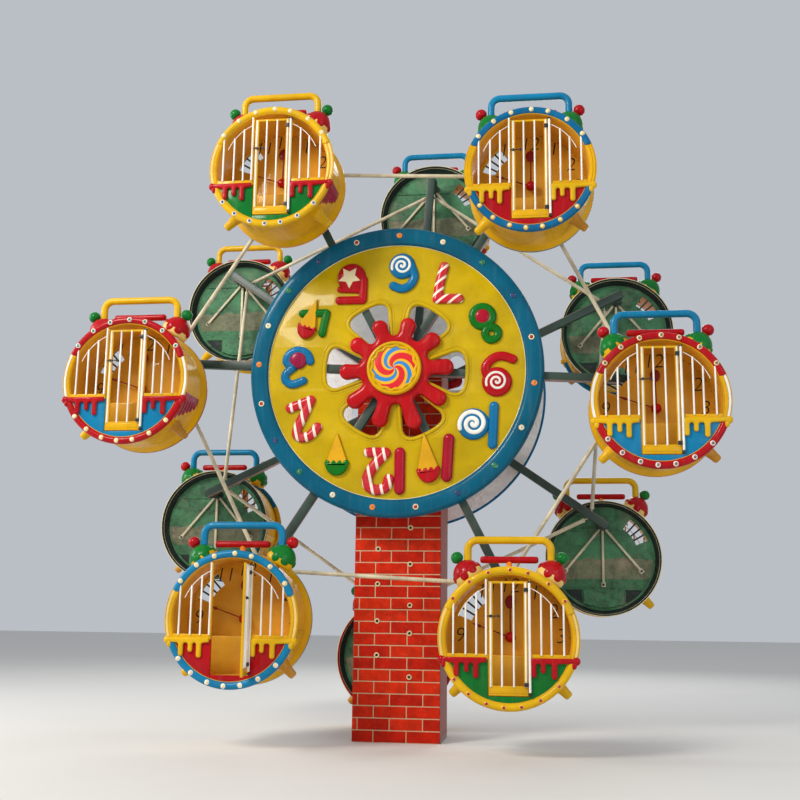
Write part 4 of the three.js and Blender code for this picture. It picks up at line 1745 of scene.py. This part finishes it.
@dataclass
class CabinShapes:
    """The shapes that all cabins share, about the drum's middle and facing -Y."""

    drum: float = 0.700
    cavity: float = 0.666
    tube_middle: float = 0.7165
    tube: float = 0.0442
    wall: Pair = (0.612, 0.652)
    back: float = 0.777
    sill: float = -0.165
    floor: float = -0.605
    bench: Pair = (-0.190, 0.390)
    door_half: float = 0.210
    door_gap: float = 0.008
    door_foot: float = -0.597
    door_top: float = 0.600
    light: Pair = (-0.495, 0.575)
    stile: float = 0.045
    post: Pair = (0.228, -0.042)
    hang: float = 0.425
    works: float = 0.370
    upper_arc: Pair = (22.0, 154.0)
    lower_arc: Pair = (201.0, 339.0)
    upper_lamps: tuple[float, ...] = (145.0, 125.0, 107.0, 88.0, 72.6, 53.0, 33.0)
    lower_lamps: tuple[float, ...] = (217.0, 234.0, 251.0, 266.0, 281.0, 298.0, 317.5)
    window: tuple[float, float, float, float] = (0.470, 0.630, 125.0, 158.0)
    bell_lean: float = 34.0
    steps: int = 96
    bar: float = 0.0105
    shut_bolt: float = -0.248
    drawn_bolt: float = -0.200
    castings: dict[str, Casting] = field(default_factory=dict)
    doors: tuple[Casting, ...] = ()

    def build(self) -> None:
        """Makes every shape once, and the door with its bolt shut and drawn."""
        self.castings = {
            "shell": self.shell(), "rim_arcs": self.rim(), "lamps": self.lamps(),
            "panel_and_icing": self.icing(), "grille": self.grille(), "clock_face": self.clock(),
            "bell_pair": self.bells(), "hammer_and_feet": self.hammer_and_feet(),
            "back_frame": self.back_frame(),
        }
        self.doors = (self.door(self.shut_bolt), self.door(self.drawn_bolt))

    def sector(self) -> list[Pair]:
        """Gives the back window's outline."""
        inner, outer, start, end = self.window
        return arc(outer, start, end, 10) + arc(inner, end, start, 8)

    def shell(self) -> Casting:
        """Makes the drum: its round walls, the back wall and its edge, and the small window's bars.

        Returns:
            The casting.
        """
        form = Form()
        self.add_round_walls(form)
        self.add_back_wall(form)
        self.add_back_edge(form)
        self.add_window_bars(form)
        return form.cast("shell")

    def add_round_walls(self, form: Form) -> None:
        """Adds the drum's outer and inner wall, its floor and its bench.

        Args:
            form: The shape that they join.
        """
        form.use(Role.SHELL)
        form.lathe([(0.671, -0.018), (self.drum, 0.0), (self.drum, 0.640), (0.706, 0.664), (0.728, 0.704),
                    (0.748, 0.733), (0.7535, 0.748), (0.745, 0.748), (0.690, 0.664), (0.690, 0.03)],
                   self.steps, True)
        form.use(Role.INSIDE)
        form.lathe([(0.6895, 0.030), (0.6895, 0.645), (self.cavity, 0.640), (self.cavity, 0.006),
                    (0.672, -0.016)], self.steps, True)
        reach, end = self.cavity + 0.002, self.wall[0] + 0.002
        form.segment(reach, 0.03, end, [((0, self.floor), (0, 1))])
        form.segment(reach, self.bench[1], end, [((0, self.bench[0]), (0, 1))], 0.018)

    def add_back_wall(self, form: Form) -> None:
        """Adds the raw back wall, its ledge, rib and footwell plate, its stain and painted shade in its lower
        corners.

        Args:
            form: The shape that they join.
        """
        wall = self.wall[1]
        sunk = wall - 0.002
        form.use(Role.RAW)
        disc = arc(self.cavity + 0.012, 0, 360, self.steps)[:-1]
        form.plate([disc, self.sector()], self.wall[0] + 0.022, wall, 0.002, 1)
        form.lathe([(0.655, sunk), (0.664, wall + 0.005), (0.673, wall + 0.005), (0.684, wall - 0.006),
                    (0.684, wall - 0.012), (0.655, wall - 0.012)], self.steps, True)
        form.box((-0.500, sunk, -0.406), (0.500, wall + 0.016, -0.386), 0.004, 2)
        form.box((-0.220, sunk, 0.372), (0.512, wall + 0.014, 0.392), 0.004, 2)
        footwell = [(-0.265, -0.402), *arc(0.640, -114.5, -65.5, 12), (0.265, -0.402)]
        form.plate([footwell], sunk, wall + 0.030, 0.008, 3)
        form.use(Role.STAIN)
        stain = [*arc(0.646, 181.5, 204.5, 8), *arc(0.646, -24.5, -1.5, 8), (0.310, -0.030), (0.210, 0.010),
                 (0.080, -0.018), (-0.250, 0.012)]
        form.plate([stain], sunk, wall + 0.0009, 0.0004, 1)
        # The lower corners beside the footwell are recesses; these dark plates are painted shade there.
        form.use(Role.BACK_BAND)
        for way in (-1, 1):
            corner = [(-0.285, -0.412), *arc(0.648, -140.5, -116.1, 10)]
            form.plate([[(way * x, z) for x, z in corner]], sunk, wall + 0.0025, 0.001, 1)

    def add_back_edge(self, form: Form) -> None:
        """Adds the flared edge behind the back wall: a band of painted shade, two lines of piping and a round
        lip.

        Args:
            form: The shape that they join.
        """
        back = self.back
        # The flared band in the recess between the back wall and the lip is dark resin as painted shade.
        form.use(Role.BACK_BAND)
        form.lathe([(0.677, self.wall[1] - 0.01), (0.735, back - 0.03), (0.747, back - 0.03), (0.69, 0.655)],
                   self.steps, True)
        form.use(Role.PIPING)
        form.ring(0.7275, 0.0045, back - 0.034, self.steps, 8)
        form.ring(0.7482, 0.0062, back - 0.0064, self.steps, 8)
        form.use(Role.BACK_LIP)
        form.lathe([(0.729, back - 0.036), (0.726, back - 0.012), (0.733, back - 0.002), (0.744, back),
                    (0.752, back - 0.006), (0.7545, back - 0.018), (0.7535, back - 0.034),
                    (0.744, back - 0.040)], self.steps, True)

    def add_window_bars(self, form: Form) -> None:
        """Adds the three bars of the back wall's window.

        Args:
            form: The shape that they join.
        """
        inner, outer, start, end = self.window
        plane = 0.634
        form.use(Role.IRON)
        for k in range(3):
            at = start + (end - start) * (k + 1) / 4
            (x0, z0), (x1, z1) = polar(inner - 0.01, at), polar(outer + 0.01, at)
            form.rod((x0, plane, z0), (x1, plane, z1), 0.011, 8)

    def clock(self) -> Casting:
        """Makes the clock face on the back wall, with its thin figures, two hands and round centre.

        Returns:
            The casting.
        """
        form = Form().use(Role.DIAL)
        front = self.wall[0]
        disc = arc(self.cavity + 0.001, 0, 360, self.steps)[:-1]
        form.plate([disc, self.sector()], front, front + 0.021, 0.002, 1)
        form.use(Role.FIGURES)
        lean = Matrix.Identity(4)
        lean[0][2] = 0.16
        for hour, at in ((11, 117.5), (12, 90.0), (1, 60.0), (2, 30.0), (3, 1.0), (9, 179.0)):
            x, z = polar(0.562, at)
            form.figure(str(hour), 0.235, front - 0.003, front + 0.001, -0.0045, shift(x, 0, z) @ lean)
        for minute in range(60):
            near = 0.652 if minute % 5 else 0.645
            if self.window[2] - 2 < 90 - 6 * minute + (360 if minute > 45 else 0) < self.window[3] + 2:
                continue
            turn = about_y(90 - 6 * minute)
            form.box((near, front - 0.002, -0.0025), (0.660, front + 0.001, 0.0025), 0.0, turn=turn)
        form.use(Role.HAND)
        self.hand(form, 161.0, 0.47, 0.008, front - 0.075)
        self.hand(form, 90.0, 0.49, 0.011, front - 0.060)
        form.ball((0.0, front - 0.060, 0.385), 0.066, (0.86, 0.13, 1.1), 24, 14)
        form.use(Role.CENTRE)
        knob = ((0.0, -0.135), (0.022, -0.133), (0.042, -0.122), (0.057, -0.100), (0.060, -0.078),
                (0.050, -0.056), (0.034, -0.046), (0.030, 0.002), (0.0, 0.002))
        form.lathe([(r, front + y) for r, y in knob], 32)
        return form.cast("clock")

    def hand(self, form: Form, degrees: float, length: float, half: float, plane: float) -> None:
        """Adds a clock hand with a spade tip.

        Args:
            form: The shape that it joins.
            degrees: Its angle above +X.
            length: Its reach.
            half: Half its width.
            plane: The plane that it lies in.
        """
        outline = [(0.0, -half), (length * 0.72, -half * 0.7), (length * 0.76, -half * 2.2), (length, 0.0),
                   (length * 0.76, half * 2.2), (length * 0.72, half * 0.7), (0.0, half)]
        form.plate([outline], plane - 0.004, plane + 0.004, 0.002, 1, about_y(degrees))

    def rim(self) -> Casting:
        """Makes the two coloured tube arcs with their piping, and the pale lips between their ends.

        Returns:
            The casting.
        """
        form = Form().use(Role.RIM)
        middle, tube = self.tube_middle, self.tube
        for start, end in (self.upper_arc, self.lower_arc):
            form.ring(middle, tube, 0.0, 72, 16, start, end - start)
            for at in (start, end):
                x, z = polar(middle, at)
                form.ball((x, 0, z), tube * 0.995, (1, 1, 0.42), 16, 10, about_y(at))
        form.use(Role.SHELL)
        for start, end in (self.upper_arc, self.lower_arc):
            form.ring(middle - tube + 0.004, 0.006, -0.014, 64, 6, start, end - start)
        (right_top, left_top), (left_foot, right_foot) = self.upper_arc, self.lower_arc
        lap = 2
        for start, end in ((left_top - lap, left_foot + lap), (right_foot - lap, 360 + right_top + lap)):
            form.use(Role.SHELL)
            form.lathe([(0.676, -0.014), (0.681, -0.023), (0.696, -0.028), (0.714, -0.028), (0.718, -0.022),
                        (0.718, 0.020), (0.676, 0.0)], 40, True, start, end - start)
            form.ring(0.7545, 0.0058, -0.012, 32, 6, start, end - start)
            form.use(Role.SIDE_LIP)
            form.lathe([(0.716, -0.016), (0.720, -0.024), (0.744, -0.024), (0.7505, -0.012), (0.7505, 0.020),
                        (0.716, 0.030)], 40, True, start, end - start)
        return form.cast("rim")

    def lamps(self) -> Casting:
        """Makes the lamps on the tube arcs: a collar, a dome and a small eye.

        Returns:
            The casting.
        """
        form = Form()
        front = -self.tube
        sets = ((self.upper_lamps, Role.UPPER_LAMP, Role.UPPER_EYE),
                (self.lower_lamps, Role.LOWER_LAMP, Role.LOWER_EYE))
        for angles, dome, eye in sets:
            for at in angles:
                x, z = polar(0.72, at)
                here = shift(x, front + 0.006, z)
                form.use(dome).lathe([(0.0, -0.015), (0.014, -0.0143), (0.024, -0.010), (0.0295, -0.002),
                                      (0.030, 0.008), (0.0, 0.008)], 20, turn=here)
                form.use(eye).ball((x, front - 0.005, z), 0.018, (1, 0.42, 1), 14, 8)
        return form.cast("lamps")

    def drip_outline(self, left: float, right: float, top: float, foot: float,
                     drips: Sequence[Triple]) -> list[Pair]:
        """Gives the outline of a band of icing with round-ended drips.

        Args:
            left: Where the band starts.
            right: Where it ends.
            top: Its upper edge.
            foot: Its lower edge between the drips.
            drips: From left to right, each drip's middle, half width and drop below the foot.

        Returns:
            The outline's points.
        """
        points: list[Pair] = [(right, top), (left, top), (left, foot + 0.012)]
        for x, side, length in drips:
            points.append((x - side - 0.014, foot + 0.004))
            points.append((x - side, foot - 0.012))
            for i in range(9):
                u, v = polar(side, 180 + 22.5 * i)
                points.append((x + u, foot - length + side + v))
            points.append((x + side, foot - 0.012))
            points.append((x + side + 0.014, foot + 0.004))
        points.append((right, foot + 0.012))
        return points

    def icing(self) -> Casting:
        """Makes the lower panel and sill, the icing that drips over it, and its belt on the drum's side.

        Returns:
            The casting.
        """
        form = Form().use(Role.PANEL)
        jamb = self.door_half + self.door_gap
        top = self.sill - 0.02
        for way in (-1, 1):
            form.segment(0.690, -0.017, 0.022, [((0, top), (0, 1)), ((way * jamb, 0), (-way, 0))], 0.003)
        foot = self.floor
        form.segment(0.690, -0.0165, 0.0215, [((0, foot), (0, 1)), ((jamb + 0.001, 0), (1, 0)),
                                              ((-jamb - 0.001, 0), (-1, 0))], 0.003)
        form.use(Role.SHELL)
        for way in (-1, 1):
            low, high = sorted((way * jamb, way * 0.655))
            form.box((low, -0.030, self.sill - 0.060), (high, 0.026, self.sill), 0.008, 3)
            low, high = sorted((way * (jamb + 0.002), way * (jamb + 0.020)))
            form.box((low, -0.004, self.sill - 0.01), (high, 0.0245, 0.618), 0.004, 2)
        drips = {1: ((0.267, 0.028, 0.140), (0.366, 0.026, 0.095), (0.484, 0.030, 0.157)),
                 -1: ((0.346, 0.029, 0.157), (0.445, 0.026, 0.095), (0.553, 0.029, 0.140))}
        belt = tuple((0.070 + 0.082 * k, 0.026, 0.270 - 0.036 * k + 0.012 * (k % 2)) for k in range(7))
        for way in (-1, 1):
            form.use(Role.DRIPS)
            outline = self.drip_outline(0.232, 0.712, self.sill - 0.038, self.sill - 0.100, drips[way])
            form.plate([[(way * x, z) for x, z in outline]], -0.0555, -0.012, 0.022, 5)
            form.ball((way * 0.714, -0.012, self.sill - 0.066), 0.044, (1, 0.96, 1), 20, 14)
            form.ball((way * 0.690, -0.026, self.sill - 0.108), 0.030, (1, 0.9, 1.4), 16, 10)
            form.use(Role.BELT)
            band = self.drip_outline(0.026, 0.618, 0.0, -0.090, belt)
            form.plate([band], -0.010, 0.004, 0.006, 2, shape=self.wrapped(way))
        return form.cast("icing", 50.0)

    def wrapped(self, way: int) -> Callable[[Vector], Vector]:
        """Gives the bend that lays a flat belt along the drum's outer wall.

        Args:
            way: 1 for the right side, -1 for the left.

        Returns:
            A function from a flat point, x along the drum's depth and z up its wall, to its place there.
        """
        def bend(co: Vector) -> Vector:
            """Places one point.

            Args:
                co: The flat point.

            Returns:
                The bent point.
            """
            turn = math.radians(-10.0) + co.z / self.drum
            reach = self.drum + 0.002 - co.y
            return Vector((way * reach * math.cos(turn), co.x, reach * math.sin(turn)))
        return bend

    def grille(self) -> Casting:
        """Makes the white bars beside the door, with the thin rod that ties their tops.

        Returns:
            The casting.
        """
        form = Form().use(Role.BARS)
        plane, radius = -0.034, self.bar
        for way, bars in ((1, (0.350, 0.457)), (-1, (0.340, 0.455))):
            for x in bars:
                top = math.sqrt(0.578 ** 2 - x ** 2)
                form.rod((way * x, plane, self.sill - 0.01), (way * x, plane, top), radius, 12)
                form.ball((way * x, plane, top), radius, (1, 1, 1), 12, 8)
            outer = way * 0.588
            form.rod((outer, plane, self.sill - 0.01), (outer, plane + 0.012, 0.372), radius, 12)
            bow = arc(0.580, 66, 23, 20) if way > 0 else arc(0.580, 114, 157, 20)
            form.pipe([(x, plane + 0.010, z) for x, z in bow], 0.0045, False, 2)
        left = -self.post[0] - 0.008
        form.rod((left, plane - 0.004, self.sill - 0.01), (left, plane - 0.004, 0.62), radius, 14)
        form.use(Role.IRON)
        for z in (-0.585, 0.592):
            form.box((0.211, -0.0555, z - 0.010), (0.246, -0.014, z + 0.010), 0.003, 1)
        return form.cast("grille")

    def door(self, bolt_end: float) -> Casting:
        """Makes the barred door with its hinge post, straps and bolt.

        Args:
            bolt_end: How far the bolt is pushed, as its end's place across the door.

        Returns:
            The casting, shut.
        """
        form = Form().use(Role.DOOR)
        half, (low, high) = self.door_half, self.light
        inside = half - self.stile
        post_x, post_y = self.post
        foot, top = self.door_foot, self.door_top
        outer = [(-half, foot), (half, foot), (half, top), (-half, top)]
        inner = [(-inside, low), (inside, low), (inside, high), (-inside, high)]
        form.plate([outer, inner], -0.0235, 0.0055, 0.005, 2)
        form.box((-inside - 0.02, -0.0285, low - 0.078), (inside + 0.02, -0.020, low - 0.022), 0.004, 2)
        form.use(Role.BARS)
        for x in (-0.187, -0.068, 0.058, 0.187):
            form.rod((x, -0.022, low - 0.012), (x, -0.022, high + 0.012), self.bar, 12)
        form.rod((post_x, post_y, -0.559), (post_x, post_y, 0.589), 0.0135, 16)
        form.use(Role.IRON)
        for z in (-0.480, 0.510):
            form.box((inside + 0.002, post_y - 0.007, z - 0.021), (post_x, -0.0195, z + 0.021), 0.003, 2)
            for x in (0.178, 0.200):
                form.bolt((x, post_y - 0.0065, z), 0.005, 0.005)
        plane, height, grip = -0.036, 0.230, bolt_end + 0.100
        form.rod((bolt_end, plane, height), (bolt_end + 0.160, plane, height), 0.006, 10)
        for x in (-0.196, -0.115):
            form.box((x, plane - 0.008, height - 0.015), (x + 0.022, plane + 0.016, height + 0.015), 0.003, 1)
        form.rod((grip, plane, height), (grip, plane - 0.016, height - 0.014), 0.005, 8)
        return form.cast("door")

    def bell_turn(self, way: int) -> Matrix:
        """Turns a shape about the Y axis, with y as its height, to the right (1) or left (-1) bell."""
        return shift(y=self.works) @ about_y(-way * self.bell_lean) @ UPRIGHT

    def bells(self) -> Casting:
        """Makes the two bells with icing skirts and knobs, and the handle that stands on them.

        Returns:
            The casting.
        """
        form = Form()
        middle = 0.806
        for way in (-1, 1):
            turn = self.bell_turn(way)
            round_it = turn.to_3x3().to_4x4()
            form.use(Role.ICING)
            bowl = [(polar(0.168, a)[0], middle + polar(0.180, a)[1]) for a in range(-12, 32, 6)]
            form.lathe([(0.0, 0.690), (0.036, 0.692), (0.036, 0.752), (0.118, 0.751), (0.150, 0.756), *bowl,
                        (0.0, 0.900)], 48, turn=turn)
            form.use(Role.BELLS)
            dome = [(polar(0.1705, a)[0], middle + polar(0.181, a)[1]) for a in range(12, 79, 6)]
            form.lathe([(0.0, 0.845), (0.158, 0.842), (0.167, 0.836), *dome, (0.030, 0.988), (0.0, 0.990)],
                       48, turn=turn)
            for k in range(7):
                at, sunk = 360 / 7 * k + 9 * (k % 2), 0.011 * (k % 3)
                x, z = polar(0.157, at)
                form.ball(tuple(turn @ Vector((x, 0.840 - sunk, z))), 0.050, (0.36, 0.86 + sunk * 12, 1.0),
                          16, 10, round_it @ about_y(at))
            form.use(Role.KNOBS)
            form.lathe([(0.0, 0.978), (0.034, 0.980), (0.035, 0.988), (0.054, 1.000), (0.067, 1.020),
                        (0.070, 1.040), (0.066, 1.064), (0.052, 1.088), (0.028, 1.104), (0.0, 1.110)], 32,
                       turn=turn)
        form.use(Role.HANDLE)
        reach, height, bend, tube = 0.462, 1.062, 0.110, 0.0425
        corner = [(reach - bend + u, height - bend + v) for u, v in arc(bend, 0, 90, 12)]
        right = [(reach, 0.800), (reach, 0.87), *corner]
        line = [(-x, z) for x, z in right] + [(x, z) for x, z in reversed(right)]
        form.pipe([(x, self.works, z) for x, z in line], tube, False, 6)
        return form.cast("bells", 50.0)

    def hammer_and_feet(self) -> Casting:
        """Makes the hammer bar between the bells and the two feet under the drum.

        Returns:
            The casting.
        """
        form = Form().use(Role.HAMMER)
        across = shift(0, self.works, 0.845) @ Matrix.Rotation(-math.pi / 2, 4, "Z")
        half = [(0.0, 0.325), (0.020, 0.322), (0.033, 0.313), (0.0385, 0.298), (0.0395, 0.280)]
        form.lathe([(r, -y) for r, y in half] + [(0.0375, -0.05), (0.0375, 0.05)] + list(reversed(half)), 28,
                   turn=across)
        form.use(Role.HAMMER_STEM)
        form.lathe([(0.0, 0.690), (0.052, 0.690), (0.042, 0.710), (0.034, 0.760), (0.030, 0.850),
                    (0.0, 0.850)], 28, turn=shift(y=self.works) @ UPRIGHT)
        for role, degrees in ((Role.RIGHT_FOOT, -44.0), (Role.LEFT_FOOT, 224.0)):
            form.use(role)
            form.lathe([(0.0, 0.680), (0.086, 0.686), (0.084, 0.700), (0.074, 0.712), (0.062, 0.760),
                        (0.052, 0.830), (0.050, 0.862), (0.046, 0.884), (0.032, 0.897), (0.0, 0.900)], 36,
                       turn=shift(y=self.works) @ about_y(degrees - 90) @ UPRIGHT)
        return form.cast("works")

    def back_frame(self) -> Casting:
        """Makes the frame on the drum's back: three rods from the pivot's tube, and the tube itself.

        Returns:
            The casting.
        """
        form = Form()
        wall, length = self.wall[1], 0.796
        plane = wall + 0.020
        pivot = Vector((0, plane, self.hang))
        for degrees in (-130.0, -90.0, -50.0):
            x, z = polar(length, degrees)
            turn = Matrix.Translation(pivot) @ about_y(degrees)
            form.use(Role.RODS)
            form.box((0.04, -0.019, -0.015), (length, 0.012, 0.015), 0.003, 2, turn)
            form.box((0.735, -0.0195, -0.030), (length + 0.002, -0.012, 0.030), 0.003, 1, turn)
            form.use(Role.IRON)
            form.bolt((x * 0.965, plane + 0.011, pivot.z + z * 0.965), 0.010, 0.012, 1)
        form.use(Role.BOSS)
        form.lathe([(0.0362, wall - 0.002), (0.080, wall - 0.002), (0.080, 0.668), (0.062, 0.684),
                    (0.058, 0.836), (0.066, 0.842), (0.066, 0.857), (0.0362, 0.857)], 40, True,
                   turn=shift(z=self.hang))
        return form.cast("back_frame")


@dataclass
class Cabin:
    """One clock cabin: the shared shapes in its own place and livery."""

    number: int
    pivot: Vector
    side: Side
    shapes: CabinShapes
    plane: float = 1.762
    open_door: int = 5
    door_turn: float = 100.0

    def build(self) -> None:
        """Sets the cabin's pieces."""
        body = f"cabin_{self.number:02d}"
        livery = LIVERIES[self.number]
        sign = -1 if self.side is Side.FRONT else 1
        centre = Vector((self.pivot.x, sign * self.plane, self.pivot.z - self.shapes.hang))
        place = Matrix.Translation(centre) @ self.side.turn
        gone = {"shell": [f"{body}_drum"], "bell_pair": [f"{body}_bells"]}
        for label, casting in self.shapes.castings.items():
            set_piece(casting, f"{body}_{label}", body, place,
                      gone.get(label, ()), livery.finish)
        is_open = self.number == self.open_door
        swing = Matrix.Identity(4)
        if is_open:
            x, y = self.shapes.post
            swing = shift(x, y) @ Matrix.Rotation(math.radians(self.door_turn), 4, "Z") @ shift(-x, -y)
        set_piece(self.shapes.doors[is_open], f"{body}_door_leaf", f"{body}_door",
                  place @ swing, [f"{body}_door"], livery.finish)


def main() -> None:
    """Builds the scene, piece by piece."""
    Viewpoint().build()
    StudioSet().build()
    joints = {joint["name"]: joint for joint in frame["joints"]}
    hub = Vector(joints["wheel_spin"]["pos_m"])
    Tower(hub, *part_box("column")).build()
    phases = []
    for side, first in ((Side.FRONT, "cabin_01_level"), (Side.REAR, "cabin_07_level")):
        pin = Vector(joints[first]["pos_m"]) - hub
        flat = pin if side is Side.FRONT else side.turn @ pin
        phase = math.degrees(math.atan2(flat.z, flat.x))
        phases.append((side, phase))
        WheelSide(side, hub, phase).build()
    Axle(hub).build(phases)
    shapes = CabinShapes()
    shapes.build()
    for number in range(1, 13):
        pivot = Vector(joints[f"cabin_{number:02d}_level"]["pos_m"])
        Cabin(number, pivot, Side.FRONT if pivot.y < 0 else Side.REAR, shapes).build()


if __name__ == "__main__":
    logging.basicConfig(level=logging.INFO, format="%(message)s")
    main()
